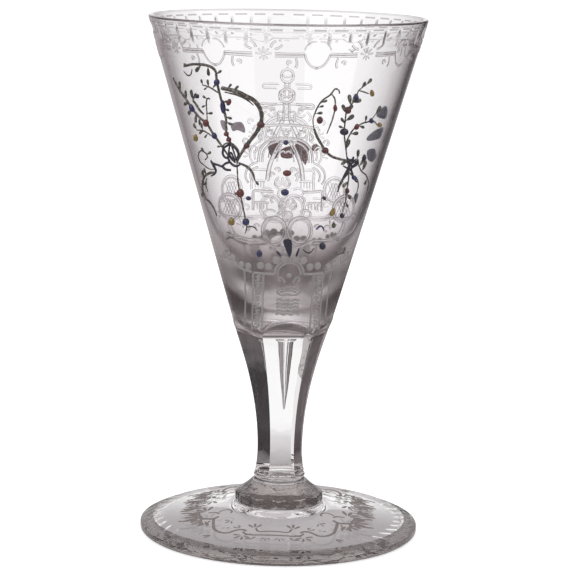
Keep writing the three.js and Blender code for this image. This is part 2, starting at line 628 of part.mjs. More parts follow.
// Beads astride the left spray or beside it.
const LEFT_BEADS = [
  { name: 'left_blue_tip_bead', at: [-33, 82.1], width: 2, length: 2.1, colour: BLUE },
  { name: 'left_blue_long_bead', at: [-31.6, 74.6], width: 1.7, length: 4.4, turn: 8, colour: BLUE },
  { name: 'left_red_upper_bead', at: [-32, 66.3], width: 1.7, length: 1.5, colour: RED },
  { name: 'left_red_lower_bead', at: [-31, 64.6], width: 1.7, length: 1.5, colour: RED },
  { name: 'left_red_berry', at: [-28, 76.2], width: 1.5, length: 2.2, turn: -20, colour: RED },
  { name: 'left_dark_red_upper_bead', at: [-12.6, 69.8], width: 2.4, length: 2.2, colour: DARK_RED },
  { name: 'left_dark_red_lower_bead', at: [-21, 63], width: 1.8, length: 2.1, turn: -40, colour: DARK_RED },
  { name: 'left_blue_outer_bead', at: [-53, 73.2], width: 1.7, length: 3, turn: 42, colour: BLUE },
  { name: 'left_red_outer_bead', at: [-44.4, 69], width: 2.3, length: 2.4, colour: RED },
  { name: 'left_blue_inner_bead', at: [-40, 65.3], width: 1.7, length: 2.2, turn: 35, colour: BLUE },
  { name: 'left_blue_small_bead', at: [-46.5, 77.2], width: 1.1, length: 1.4, colour: BLUE },
  { name: 'left_yellow_bead', at: [-56, 63.8], width: 1.8, length: 2.4, turn: 10, colour: YELLOW },
  { name: 'left_red_drop', at: [-28.4, 47.8], width: 2.6, length: 2.8, colour: RED },
  { name: 'left_blue_drop', at: [-27, 38.7], width: 2.4, length: 2.3, colour: BLUE },
  { name: 'left_blue_side_bead', at: [-23, 46.4], width: 1.8, length: 1.2, turn: -15, colour: BLUE },
  { name: 'left_yellow_drop', at: [-39, 38.2], width: 2.4, length: 2.5, colour: YELLOW },
];

// Beads astride the right spray or beside it.
const RIGHT_BEADS = [
  { name: 'right_red_berry', at: [16.4, 71.5], width: 1.9, length: 2.3, turn: -15, colour: DARK_RED },
  { name: 'right_dark_red_bead', at: [21.4, 62], width: 2.2, length: 2, colour: DARK_RED },
  { name: 'right_red_inner_bead', at: [23.4, 75.2], width: 1.2, length: 2.2, colour: RED },
  { name: 'right_blue_flower_cup', at: [30.6, 67.7], width: 3, length: 2.2, colour: DARK_BLUE },
  { name: 'right_dark_red_flower', at: [30.4, 74.4], width: 2.2, length: 2.2, colour: DARK_RED },
  { name: 'right_blue_upper_bead', at: [33.6, 78.3], width: 1.8, length: 1.9, colour: BLUE },
  { name: 'right_yellow_tip_bead', at: [42.6, 79.4], width: 1.4, length: 2.2, turn: 10, colour: YELLOW },
  { name: 'right_red_side_bead', at: [37.6, 69.1], width: 1.4, length: 2.1, turn: -40, colour: RED },
  { name: 'right_blue_side_bead', at: [46.8, 70.7], width: 1.6, length: 1.7, colour: BLUE },
  { name: 'right_yellow_side_bead', at: [54.6, 69.1], width: 1.8, length: 1.5, colour: YELLOW },
  { name: 'right_blue_low_bead', at: [48.6, 59], width: 1.4, length: 2.2, turn: -20, colour: DARK_BLUE },
  { name: 'right_dark_red_tail_bead', at: [41, 48.8], width: 1.3, length: 2, turn: -10, colour: DARK_RED },
  { name: 'right_blue_tail_bead', at: [44.6, 52.8], width: 2.2, length: 1.5, turn: -15, colour: BLUE },
  { name: 'right_olive_drop', at: [33, 42.2], width: 1.6, length: 2.9, turn: -30, colour: YELLOW },
  { name: 'right_dark_blue_drop', at: [41.6, 40.8], width: 1.6, length: 1.7, colour: DARK_BLUE },
  { name: 'right_green_drop', at: [36, 37.9], width: 1.2, length: 1.9, turn: -12, colour: GREEN },
];

// Beads in the middle of the front, under the canopy and on the knotwork.
const CENTRE_BEADS = [
  { name: 'centre_blue_top_bead', at: [0, 64.5], width: 1.6, length: 1.5, colour: BLUE },
  { name: 'centre_red_bead', at: [1, 54.9], width: 2.6, length: 1.9, colour: RED },
  { name: 'centre_blue_bead', at: [0, 48.8], width: 2.5, length: 2.1, colour: BLUE },
  { name: 'centre_blue_low_left_bead', at: [-19, 28.7], width: 1.8, length: 2.5, turn: 8, colour: BLUE },
  { name: 'centre_blue_low_right_bead', at: [30, 31.3], width: 2.2, length: 2.5, colour: DARK_BLUE },
  { name: 'centre_blue_small_bead', at: [25, 46.9], width: 1.2, length: 1.2, colour: DARK_BLUE },
];

// Short painted lines in the middle of the front.
const CENTRE_STROKES = [
  {
    name: 'centre_blue_left_dash',
    width: 0.9,
    colour: DARK_BLUE,
    places: [[-5.4, 29.8], [-3.8, 29], [-2.2, 28.2]],
  },
  {
    name: 'centre_blue_right_dash',
    width: 0.9,
    colour: DARK_BLUE,
    places: [[9.6, 28], [10.6, 29.4], [11.6, 30.8]],
  },
  {
    name: 'centre_blue_low_curve',
    width: 0.6,
    colour: DARK_BLUE,
    places: [[14.6, 30.4], [18, 29.4], [21, 29.4], [23.4, 30.8]],
  },
  {
    name: 'centre_blue_side_curve',
    width: 0.8,
    colour: BLUE,
    places: [[22.6, 36.8], [25, 37.8], [27, 37.6], [29, 36.4]],
  },
];

// Painted patches: the long blue drop at the front, and the canopy's drapes and colour patches at the back.
const PATCHES = [
  {
    name: 'centre_blue_long_drop',
    colour: DARK_BLUE,
    outline: [[-0.4, 33.4], [5, 33.6], [6.2, 30.4], [5.2, 28.4], [3.8, 28.2], [1.4, 30.6]],
  },
  {
    name: 'back_red_left_drape',
    colour: MUTED_RED,
    outline: [[189, 57], [184, 57.8], [184.6, 54.6], [186.4, 52.8], [188.4, 53.4], [189.6, 55]],
  },
  {
    name: 'back_red_middle_drape',
    colour: MUTED_RED,
    outline: [[182.6, 55.4], [178, 56.4], [174.4, 55.6], [176, 52.8], [181.6, 52.6], [183.4, 53.6]],
  },
  {
    name: 'back_red_right_drape',
    colour: MUTED_RED,
    outline: [[173.6, 57.4], [169, 57.6], [166.6, 55.6], [167.6, 51.2], [170, 52.6], [173, 53.4]],
  },
  {
    name: 'back_pink_bow',
    colour: MUTED_RED,
    outline: [[163.4, 57], [160.6, 57.4], [158.6, 56.4], [160.4, 55.2], [163.2, 55.4]],
  },
  {
    name: 'back_blue_top_patch',
    colour: MUTED_BLUE,
    outline: [[120, 70.6], [115, 71.4], [112.6, 69.6], [115, 67.2], [119.4, 67.6]],
  },
  {
    name: 'back_blue_upper_patch',
    colour: MUTED_BLUE,
    outline: [[124, 62.6], [118, 65], [113, 64.4], [113.6, 62], [119, 61]],
  },
  {
    name: 'back_blue_lower_patch',
    colour: MUTED_BLUE,
    outline: [[117, 57.6], [112, 58.4], [109, 55.6], [111, 52.8], [115.6, 53.8]],
  },
  {
    name: 'back_blue_low_patch',
    colour: MUTED_BLUE,
    outline: [[118.6, 43.2], [113.6, 43], [113.8, 40], [118.4, 40.2]],
  },
  {
    name: 'back_mauve_left_patch',
    colour: MAUVE,
    outline: [[221.4, 64.8], [218, 64.4], [217.2, 61.8], [220.4, 62]],
  },
  {
    name: 'back_mauve_right_patch',
    colour: MAUVE,
    outline: [[214, 63.6], [207, 64], [205.4, 60.8], [210, 61.6], [213.6, 61.4]],
  },
];

// ASSEMBLY
const glass = new THREE.Group();
const clear = { color: 0xe4e0e4, roughness: 0.03, metalness: 0 };
const enamel = { roughness: 0.25, metalness: 0 };

function addPiece(name, geometry, finish) {
  const flat = geometry.toNonIndexed();
  flat.computeVertexNormals();
  const piece = new THREE.Mesh(flat, new THREE.MeshStandardMaterial(finish));
  piece.name = name;
  glass.add(piece);
}

addPiece('foot', geometryOf(footSolid()), clear);
addPiece('collar', geometryOf(collarSolid()), clear);
addPiece('stem', geometryOf(stemSolid()), clear);
addPiece('bowl', geometryOf(bowlSolid()), clear);

const sprays = [['left', LEFT_SPRAY, LEFT_BEADS], ['right', RIGHT_SPRAY, RIGHT_BEADS]];
for (const [side, spray, beads] of sprays) {
  addPiece(`${side}_spray`, wrapOnBowl(spraySolid(spray)), { ...enamel, color: TWIG_BROWN });
  const grownTwigs = spraySolid(spray, ENAMEL_CLEARANCE);
  for (const bead of beads) {
    addPiece(bead.name, wrapOnBowl(beadSolid(bead, grownTwigs)), { ...enamel, color: bead.colour });
  }
}
for (const bead of CENTRE_BEADS) {
  addPiece(bead.name, wrapOnBowl(beadSolid(bead)), { ...enamel, color: bead.colour });
}
for (const line of CENTRE_STROKES) {
  addPiece(line.name, wrapOnBowl(stroke(line.places, line.width, 4)), { ...enamel, color: line.colour });
}
for (const patch of PATCHES) {
  addPiece(patch.name, wrapOnBowl(plateSolid(patch.outline)), { ...enamel, color: patch.colour });
}

export default glass;
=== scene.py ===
import math

import bpy
import numpy as np
from mathutils import Matrix


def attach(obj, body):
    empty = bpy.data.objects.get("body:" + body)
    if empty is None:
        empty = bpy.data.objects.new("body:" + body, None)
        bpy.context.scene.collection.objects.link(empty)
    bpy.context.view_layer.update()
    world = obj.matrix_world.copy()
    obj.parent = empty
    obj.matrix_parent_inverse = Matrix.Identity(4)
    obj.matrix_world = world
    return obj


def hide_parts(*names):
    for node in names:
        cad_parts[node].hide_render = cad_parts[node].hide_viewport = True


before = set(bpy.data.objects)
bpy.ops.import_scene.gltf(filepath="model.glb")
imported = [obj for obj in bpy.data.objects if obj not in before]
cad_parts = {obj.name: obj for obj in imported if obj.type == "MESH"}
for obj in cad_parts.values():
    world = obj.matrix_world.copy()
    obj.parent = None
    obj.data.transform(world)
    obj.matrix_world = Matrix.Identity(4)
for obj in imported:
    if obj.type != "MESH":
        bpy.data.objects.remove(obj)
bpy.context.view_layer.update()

# FOOT
# A gather of clear glass spun out into a domed disc and hollowed below, so that it stands on a ring near its
# border. The border is cut with a bevel, and a wheel has cut slanting notches over the bevel's inner edge.
MM = 0.001
FOOT_RADIUS = 44.6
FOOT_SEAT = 9.4
FOOT_SHOULDER = 4.2
FOOT_SHOULDER_RADIUS = 40.6
FOOT_EDGE_TOP = 2.6
FOOT_COLUMNS = 576
FOOT_NOTCHES = 48
NOTCH_SLANT = math.radians(38)
NOTCH_HALF_WIDTH = 1.1
NOTCH_REACH = 3.4
NOTCH_DEPTH = 0.34
NOTCH_FRONT_SHARE = 0.06
REST_INNER = 39.0
REST_OUTER = 43.4
FOOT_THICKNESS = 4.3
PONTIL_RADIUS = 7
PONTIL_DEPTH = 0.4
COLLAR_FACE_RADIUS = 13.4
SEAT_RADIUS = 14.5
SEAT_STEP = 0.5
BEVEL_WIDTH = 0.3
HOLLOW_START = 0.5


def level(radii, heights, turns):
    """A closed row of points, in metres. A turn counts from the front to the right, in radians."""
    radii, heights, turns = np.broadcast_arrays(np.asarray(radii, float), heights, turns)
    return np.stack([radii * np.sin(turns), -radii * np.cos(turns), heights], axis=1) * MM


def pole(height, across=0.0):
    """The single point that closes a skin at one end."""
    return np.array([[across, 0, height]]) * MM


def bend(start, control, end, steps):
    """Points on a curve that leaves start towards control and arrives at end from it."""
    share = np.linspace(0, 1, steps + 1)[:, None]
    start, control, end = (np.array(point, float) for point in (start, control, end))
    return (1 - share) ** 2 * start + 2 * share * (1 - share) * control + share**2 * end


def placed(name, data):
    """An object of this name that holds a mesh, curve, lamp or camera."""
    holder = bpy.data.objects.new(name, data)
    bpy.context.scene.collection.objects.link(holder)
    return holder


def closed_skin(name, levels, finishes, marks, sharp=14):
    """One closed surface from pole to pole. marks gives the finish of the band above each level."""
    starts = np.cumsum([0] + [len(row) for row in levels])
    around = len(levels[1])
    here = np.arange(around)
    beside = np.roll(here, -1)
    faces = []
    slots = []
    for band, (low, high) in enumerate(zip(starts[:-2], starts[1:-1])):
        if band == 0:
            rows = zip(low + 0 * here, high + beside, high + here)
        elif band == len(levels) - 2:
            rows = zip(low + here, low + beside, high + 0 * here)
        else:
            rows = zip(low + here, low + beside, high + beside, high + here)
        faces.extend(rows)
        slots.extend([marks[band]] * around)
    mesh = bpy.data.meshes.new(name)
    mesh.from_pydata(np.concatenate(levels).tolist(), [], [tuple(int(i) for i in face) for face in faces])
    mesh.polygons.foreach_set("material_index", slots)
    for finish in finishes:
        mesh.materials.append(finish)
    mesh.shade_smooth()
    mesh.set_sharp_from_angle(angle=math.radians(sharp))
    mesh.validate()
    return placed(name, mesh)


def link_up(tree, *pairs):
    """Links each (output, input)."""
    for source, target in pairs:
        tree.links.new(source, target)


def step(tree, kind, sockets=(), **settings):
    """Adds a node. Its sockets, by name or number, take a value or another node's output."""
    node = tree.nodes.new(kind)
    for setting, value in settings.items():
        setattr(node, setting, value)
    for key, value in dict(sockets).items():
        if isinstance(value, bpy.types.NodeSocket):
            tree.links.new(value, node.inputs[key])
        else:
            node.inputs[key].default_value = value
    return node


def sums(tree, operation, first, second=0.0, third=0.0):
    """The result of one sum on values or sockets."""
    return step(tree, "ShaderNodeMath", {0: first, 1: second, 2: third}, operation=operation).outputs[0]


def mixed(tree, share, first, second):
    """A colour between two, each a colour or a socket."""
    colours = [(*value, 1) if isinstance(value, tuple) else value for value in (first, second)]
    return step(tree, "ShaderNodeMix", {0: share, 6: colours[0], 7: colours[1]}, data_type="RGBA").outputs[2]


def shader_group(name, inputs, outputs):
    """An empty group of shader nodes, with its named sockets."""
    group = bpy.data.node_groups.new(name, "ShaderNodeTree")
    for label, kind, value in inputs:
        group.interface.new_socket(label, in_out="INPUT", socket_type=kind).default_value = value
    for label, kind in outputs:
        group.interface.new_socket(label, in_out="OUTPUT", socket_type=kind)
    return group, group.nodes.new("NodeGroupInput"), group.nodes.new("NodeGroupOutput")


# Hand-worked glass is never quite even: a slow swell in its surface, which bends what is seen through it.
hand_work, work_in, work_out = shader_group(
    "hand_work",
    [("Swell size", "NodeSocketFloat", 60.0), ("Swell strength", "NodeSocketFloat", 0.05)],
    [("Normal", "NodeSocketVector")],
)
swell = step(hand_work, "ShaderNodeTexNoise", {
    "Vector": step(hand_work, "ShaderNodeTexCoord").outputs["Object"],
    "Scale": work_in.outputs["Swell size"],
    "Detail": 1.5,
})
bump = step(hand_work, "ShaderNodeBump", {
    "Height": swell.outputs["Fac"], "Strength": work_in.outputs["Swell strength"], "Distance": MM,
})
link_up(hand_work, (bump.outputs["Normal"], work_out.inputs["Normal"]))


def new_finish(name, roughness):
    """A material with one shader. Gives the material, its tree and its shader."""
    finish = bpy.data.materials.new(name)
    finish.use_nodes = True
    shader = finish.node_tree.nodes["Principled BSDF"]
    shader.inputs["Roughness"].default_value = roughness
    return finish, finish.node_tree, shader


def toned(tree, value, tones):
    """A colour ramp over (place, colour), with places from 0 to 1."""
    ramp = step(tree, "ShaderNodeValToRGB", {0: value})
    for index, (spot, tone) in enumerate(tones):
        stop = ramp.color_ramp.elements[index] if index < 2 else ramp.color_ramp.elements.new(spot)
        stop.position = spot
        stop.color = (*tone, 1)
    return ramp.outputs[0]


def multiplied(tree, first, second):
    """One colour seen through another, both sockets."""
    both = step(tree, "ShaderNodeMix", {0: 1.0, 6: first, 7: second}, data_type="RGBA", blend_type="MULTIPLY")
    return both.outputs[2]


def ranged(tree, value, low, high):
    """A socket's value as a share of the way from low to high, from 0 to 1."""
    return step(tree, "ShaderNodeMapRange", {"Value": value, "From Min": low, "From Max": high}).outputs[0]


def glass_finish(name, slants, roughness=0.0, swell_size=45, swell_strength=0.05, clarity=1.0, shade_and_roughness_bands=(),
                 leaving=None, painted_glow=None):
    """Glass darker where it is seen edge-on: painted shade, over the deeper colour of more glass looked
    through.

    slants lists (slant, colour) from seen face-on to edge-on, and shade_and_roughness_bands lists (height,
    colour, roughness): painted shade by height, and roughness where the glass is more worked. clarity is the
    share of light that a ground surface lets through unscattered. leaving is the colour of the surface on the
    way out of the glass. painted_glow is painted light: where the facets have turned the view back inside a
    third time, the glass glows in this colour, and after more turns it is black.
    """
    finish, tree, shader = new_finish(name, roughness)
    shader.inputs["Transmission Weight"].default_value = clarity
    shader.inputs["IOR"].default_value = 1.5
    # Painted shade: the glass darkens where its surface is seen edge-on.
    weight = step(tree, "ShaderNodeLayerWeight", {"Blend": 0.5})
    colour = toned(tree, weight.outputs["Facing"], slants)
    # Painted shade in bands by height, with roughness in the same bands.
    if shade_and_roughness_bands:
        place = step(tree, "ShaderNodeTexCoord").outputs["Object"]
        height = step(tree, "ShaderNodeSeparateXYZ", {0: place}).outputs["Z"]
        low, high = shade_and_roughness_bands[0][0], shade_and_roughness_bands[-1][0]
        share = ranged(tree, height, low * MM, high * MM)
        shares = [(above - low) / (high - low) for above, _, _ in shade_and_roughness_bands]
        band_shade = toned(tree, share, list(zip(shares, (tone for _, tone, _ in shade_and_roughness_bands))))
        colour = multiplied(tree, colour, band_shade)
        worked = toned(tree, share, list(zip(shares, ((mat, mat, mat) for _, _, mat in shade_and_roughness_bands))))
        link_up(tree, (worked, shader.inputs["Roughness"]))
    if leaving:
        colour = mixed(tree, step(tree, "ShaderNodeNewGeometry").outputs["Backfacing"], colour, leaving)
    # Painted light: at the third turn back inside, the glass glows in the given colour; past it, the glass is
    # black.
    if painted_glow:
        turns = step(tree, "ShaderNodeLightPath").outputs["Glossy Depth"]
        caught = sums(tree, "GREATER_THAN", turns, 2.5)
        third = sums(tree, "COMPARE", turns, 3, 0.5)
        colour = mixed(tree, caught, colour, (0, 0, 0))
        link_up(tree, (mixed(tree, third, (0, 0, 0), painted_glow), shader.inputs["Emission Color"]))
        shader.inputs["Emission Strength"].default_value = 1
    swells = {"Swell size": swell_size, "Swell strength": swell_strength}
    work = step(tree, "ShaderNodeGroup", swells, node_tree=hand_work)
    link_up(
        tree,
        (colour, shader.inputs["Base Color"]),
        (work.outputs["Normal"], shader.inputs["Normal"]),
    )
    return finish


# Where two gathers were fused, no surface is left between them.
fused_join, _, join_shader = new_finish("fused_join", 0)
join_shader.inputs["Alpha"].default_value = 0

foot_turns = np.linspace(0, 2 * math.pi, FOOT_COLUMNS, endpoint=False)


def notch_depth(radii):
    """How deep the slanting V cuts are along one circle of the foot, which are lighter at front and back."""
    out = radii - FOOT_SHOULDER_RADIUS
    pitch = 2 * math.pi / FOOT_NOTCHES
    slanted = foot_turns - math.tan(NOTCH_SLANT) * out / radii
    across = np.abs((slanted + pitch / 2) % pitch - pitch / 2) * radii * math.cos(NOTCH_SLANT)
    end = np.clip(1 - (out / NOTCH_REACH) ** 2, 0, 1)
    force = NOTCH_FRONT_SHARE + (1 - NOTCH_FRONT_SHARE) * np.sin(foot_turns) ** 4
    return NOTCH_DEPTH * force * end * np.clip(1 - across / (NOTCH_HALF_WIDTH * end + 0.01), 0, 1)


def foot_top(radius):
    """Height of the foot's upper side."""
    slope = bend((SEAT_RADIUS + SEAT_STEP, FOOT_SEAT - 0.2), (SEAT_RADIUS + 8.35, FOOT_SEAT - 2.4),
                 (FOOT_SHOULDER_RADIUS, FOOT_SHOULDER), 60)
    bevel = [(FOOT_RADIUS - BEVEL_WIDTH, FOOT_EDGE_TOP)]
    curve = np.array([(SEAT_RADIUS, FOOT_SEAT), *slope, *bevel])
    return np.interp(radius, curve[:, 0], curve[:, 1])


def hollow_height(radius):
    """The underside follows the top, down to the ring that the foot stands on."""
    near = foot_top(max(radius, SEAT_RADIUS + SEAT_STEP)) - FOOT_THICKNESS
    return near * min(1, (REST_INNER - radius) / HOLLOW_START)


foot_levels = [pole(hollow_height(0) + PONTIL_DEPTH)]
for radius in np.linspace(0.5, PONTIL_RADIUS, 7):
    dish = PONTIL_DEPTH * (1 - (radius / PONTIL_RADIUS) ** 2)
    foot_levels.append(level(radius, hollow_height(radius) + dish, foot_turns))
for radius in np.linspace(PONTIL_RADIUS, REST_INNER, 22)[1:]:
    foot_levels.append(level(radius, hollow_height(radius), foot_turns))
edge_profile = [
    (REST_OUTER, 0), (FOOT_RADIUS - 0.6, 0.2), (FOOT_RADIUS - 0.2, 0.55), (FOOT_RADIUS, 0.9),
    (FOOT_RADIUS, 2.2), (FOOT_RADIUS - 0.1, 2.5), (FOOT_RADIUS - BEVEL_WIDTH, FOOT_EDGE_TOP),
]
first_edge_level = len(foot_levels)
for radius, height in edge_profile:
    foot_levels.append(level(radius, height, foot_turns))
top_radii = np.concatenate([np.linspace(43.9, 37.0, 24), np.linspace(36.4, SEAT_RADIUS + SEAT_STEP, 20)])
last_edge_level = len(foot_levels) + np.count_nonzero(top_radii > FOOT_SHOULDER_RADIUS)
for radius in top_radii:
    foot_levels.append(level(radius, foot_top(radius) - notch_depth(radius), foot_turns))
for radius, height in [(SEAT_RADIUS, FOOT_SEAT), (COLLAR_FACE_RADIUS, FOOT_SEAT)]:
    foot_levels.append(level(radius, height, foot_turns))
foot_levels.append(pole(FOOT_SEAT))
foot_marks = [0] * (len(foot_levels) - 2) + [1]
# The bevel is ground and looked through lengthwise, which deepens the glass's own brown; its near-black,
# darkest where seen edge-on, is painted shade, and light caught inside it is a painted glow.
edge_glass = glass_finish("edge_glass", [
    (0.12, (0.16, 0.137, 0.132)), (0.6, (0.085, 0.072, 0.07)), (1.0, (0.04, 0.034, 0.033)),
], 0.1, 300, 0.2, clarity=0.75, painted_glow=(0.9, 0.875, 0.885))
for band in range(first_edge_level, last_edge_level):
    foot_marks[band] = 2
# Painted shade: the foot's glass is a little darker where seen edge-on, and light caught inside it is a
# painted glow.
foot_clear = glass_finish("foot_glass", [
    (0.5, (0.92, 0.89, 0.905)), (0.8, (0.98, 0.97, 0.975)), (1.0, (1.0, 1.0, 1.0)),
], leaving=(0.99, 0.985, 0.99), painted_glow=(1.0, 0.98, 0.99))
foot = closed_skin("foot_glass", foot_levels, [foot_clear, fused_join, edge_glass], foot_marks)
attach(foot, "root")
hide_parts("foot")

# COLLAR
# A small gather pressed into a disc between stem and foot. Its upper side slopes down from the stem's ring,
# and twelve short flats are cut round its edge.
COLLAR_RADIUS = 14.1
COLLAR_FACETS = 12
COLLAR_FLAT = COLLAR_RADIUS - 0.42
COLLAR_COLUMNS = 240
STEM_BASE = 16.3
STEM_FACE_RADIUS = 8.5

collar_turns = np.linspace(0, 2 * math.pi, COLLAR_COLUMNS, endpoint=False)
flat_turn = 2 * math.pi / COLLAR_FACETS
from_flat = (collar_turns % flat_turn) - flat_turn / 2
collar_profile = [
    *bend((COLLAR_FACE_RADIUS, FOOT_SEAT), (COLLAR_RADIUS, FOOT_SEAT), (COLLAR_RADIUS, FOOT_SEAT + 0.7), 4),
    *[(COLLAR_RADIUS, height) for height in np.linspace(FOOT_SEAT + 0.9, FOOT_SEAT + 2.3, 5)],
    *bend((COLLAR_RADIUS, FOOT_SEAT + 2.5), (COLLAR_RADIUS, FOOT_SEAT + 3), (13.4, FOOT_SEAT + 3.4), 4),
    *bend((13.1, FOOT_SEAT + 3.55), (10.9, FOOT_SEAT + 4.8), (8.85, STEM_BASE), 12),
    (STEM_FACE_RADIUS, STEM_BASE),
]
collar_levels = [pole(FOOT_SEAT)]
for radius, height in collar_profile:
    collar_levels.append(level(np.minimum(radius, COLLAR_FLAT / np.cos(from_flat)), height, collar_turns))
collar_levels.append(pole(STEM_BASE))
# Painted shade: the collar's glass is dark grey-brown, darkest where seen edge-on.
collar_clear = glass_finish("collar_glass", [
    (0.12, (0.24, 0.205, 0.198)), (0.5, (0.11, 0.093, 0.09)), (1.0, (0.06, 0.048, 0.046)),
], 0.08, 260, 0.5, clarity=0.75)
collar_marks = [1] + [0] * (len(collar_levels) - 3) + [1]
collar = closed_skin("collar_glass", collar_levels, [collar_clear, fused_join], collar_marks)
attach(collar, "root")
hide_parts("collar")

# STEM
# A solid stem, drawn out and cut with six long facets that spread towards the bowl. A point was pushed into
# its top while it was soft, and the bowl's base closed the hole, so a tear of air stays in the glass.
JOINT = 64.5
JOINT_RADIUS = 14.6
WALL_SLOPE = 0.29154
FACET_TURN = math.radians(7)
FACETS = 6
BROAD_EXTRA = 0.35
STEM_COLUMNS = 228
RING_TOP = 18.9
RING_RADIUS = 8.2
FACET_START = 19.0
BLANK_START = 21.0
TEAR_TOP = 63.4
TEAR_TIP = 39.8
TEAR_RADIUS = 2.6
TEAR_CAP_RADIUS = 3.4
TEAR_ACROSS = 0.8


def cone_radius(height):
    """Outer radius of the bowl's wall, from the height above the stem."""
    return JOINT_RADIUS + WALL_SLOPE * np.asarray(height, float)


def cubic(a, b, c, d, steps):
    """Points on a curve that leaves a towards b and arrives at d from c."""
    share = np.linspace(0, 1, steps + 1)[:, None]
    a, b, c, d = (np.array(point, float) for point in (a, b, c, d))
    rest = 1 - share
    return rest**3 * a + 3 * rest**2 * share * b + 3 * rest * share**2 * c + share**3 * d


facet_curve = np.concatenate([
    bend((8.8, 18.3), (6.7, 18.9), (6.7, 20.3), 12),
    bend((6.7, 20.3), (6.25, 23.55), (6.25, 26.8), 10)[1:],
    cubic((6.25, 26.8), (6.25, 43.8), (10.97, 58.5), (12.65, JOINT), 40)[1:],
    bend((12.65, JOINT), (13.48, 67.47), (17.45, 71.1), 30)[1:],
])


def facet_corners(height):
    """Distances from the axis to the six facets, and the turns of the corners between them."""
    apothem = np.interp(height, facet_curve[:, 1], facet_curve[:, 0])
    flats = np.array([apothem - BROAD_EXTRA * (i % 3 == 0) for i in range(FACETS)])
    apart = 2 * math.pi / FACETS
    beside = np.arctan((np.roll(flats, -1) / flats - math.cos(apart)) / math.sin(apart))
    return flats, FACET_TURN + apart * np.arange(FACETS) + beside


def facet_turns(height, columns):
    """Column turns for one level, spaced so that a column runs down every corner."""
    _, corners = facet_corners(height)
    share = columns // FACETS
    spans = np.append(corners, corners[0] + 2 * math.pi)
    return np.concatenate([np.linspace(a, b, share, endpoint=False) for a, b in zip(spans[:-1], spans[1:])])


def facet_radius(height, turns):
    """Distance from the axis to the nearest facet's plane, at each turn."""
    flats, _ = facet_corners(height)
    middles = FACET_TURN + 2 * math.pi / FACETS * np.arange(FACETS)
    lean = np.cos(turns[:, None] - middles[None, :])
    reach = np.where(lean > 0.1, flats[None, :] / np.maximum(lean, 0.1), np.inf)
    return reach.min(axis=1)


def facet_level(height, columns):
    """One level of the faceted blank, which is a turned one below the joint and the bowl's cone above it."""
    turns = facet_turns(height, columns)
    blank = cone_radius(height - JOINT)
    if height < JOINT:
        blank = np.interp(height, [RING_TOP, JOINT], [RING_RADIUS, JOINT_RADIUS])
    return level(np.minimum(facet_radius(height, turns), blank), height, turns)


tear_turns = np.linspace(0, 2 * math.pi, STEM_COLUMNS, endpoint=False) + facet_turns(JOINT, STEM_COLUMNS)[0]


def tear_level(radius, height):
    """One level of the tear, which sits a little to the right of the axis."""
    ring = level(radius, height, tear_turns)
    ring[:, 0] += TEAR_ACROSS * MM
    return ring


stem_turns = facet_turns(FACET_START, STEM_COLUMNS)
stem_levels = [pole(STEM_BASE), level(STEM_FACE_RADIUS, STEM_BASE, stem_turns)]
ring_profile = [
    *bend((8.4, 16.4), (7.7, 17.3), (8.1, 17.9), 6),
    *bend((RING_RADIUS, 18.1), (8.25, 18.5), (7.9, 18.8), 4),
]
for radius, height in ring_profile:
    stem_levels.append(level(radius, height, stem_turns))
for height in np.concatenate([np.linspace(FACET_START, 27, 18), np.linspace(28, JOINT - 0.4, 46), [JOINT]]):
    if height < BLANK_START:
        turns = facet_turns(height, STEM_COLUMNS)
        turned = np.interp(height, [FACET_START, FACET_START + 1.2], [7.75, 9.5])
        stem_levels.append(level(np.minimum(facet_radius(height, turns), turned), height, turns))
    else:
        stem_levels.append(facet_level(height, STEM_COLUMNS))
top_face = len(stem_levels) - 1
tear_profile = [
    (TEAR_CAP_RADIUS, JOINT),
    *bend((TEAR_CAP_RADIUS, JOINT - 0.3), (3.3, TEAR_TOP + 0.3), (TEAR_RADIUS, TEAR_TOP), 6),
    *bend((2.5, TEAR_TOP - 0.6), (1.7, 52), (0.25, TEAR_TIP + 0.4), 20),
]
for radius, height in tear_profile:
    stem_levels.append(tear_level(radius, height))
stem_levels.append(pole(TEAR_TIP, TEAR_ACROSS))
# The solid stem is painted grey-brown where it is looked into from the side: painted shade that darkens
# its side facets. Light caught inside it is a painted glow.
side_shaded_glass = glass_finish("side_shaded_glass", [
    (0.12, (0.98, 0.97, 0.975)), (0.25, (0.85, 0.83, 0.83)), (0.5, (0.5, 0.46, 0.47)),
    (1.0, (0.42, 0.38, 0.385)),
], 0.0, 130, 0.35, leaving=(0.99, 0.985, 0.985), painted_glow=(0.86, 0.84, 0.85))
stem_marks = [0] * (len(stem_levels) - 1)
stem_marks[0] = stem_marks[top_face] = 1
stem = closed_skin("stem_glass", stem_levels, [side_shaded_glass, fused_join], stem_marks)
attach(stem, "root")
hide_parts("stem")

# BOWL
# A blown cone with a thick base. The wheel that cut the stem's facets ran on into it and left round arches,
# and a ring of small ovals is cut just below the rounded lip.
RIM = 165.0
WALL = 1.5
BASE = 10.0
SWELL = 45.0
LIP_ROUND = 0.7
BOWL_COLUMNS = 456
ARCH_TOP = 71.1
OVALS = 42
OVAL_MIDDLE = 160.6
OVAL_HALF_HEIGHT = 2.8
OVAL_HALF_WIDTH = 2.95
OVAL_DEPTH = 0.25
DASH_HEIGHT = 163.05
DASH_SHARE = 0.6
LIP_SHADE_BAND = (164.3, 164.85)
OUTSIDE_MARGIN = 0.7
ARCH_STEP = 8
ARCH_FADE = 1.4
ARCH_BANDS = 5

joint_turns = facet_turns(JOINT, BOWL_COLUMNS)


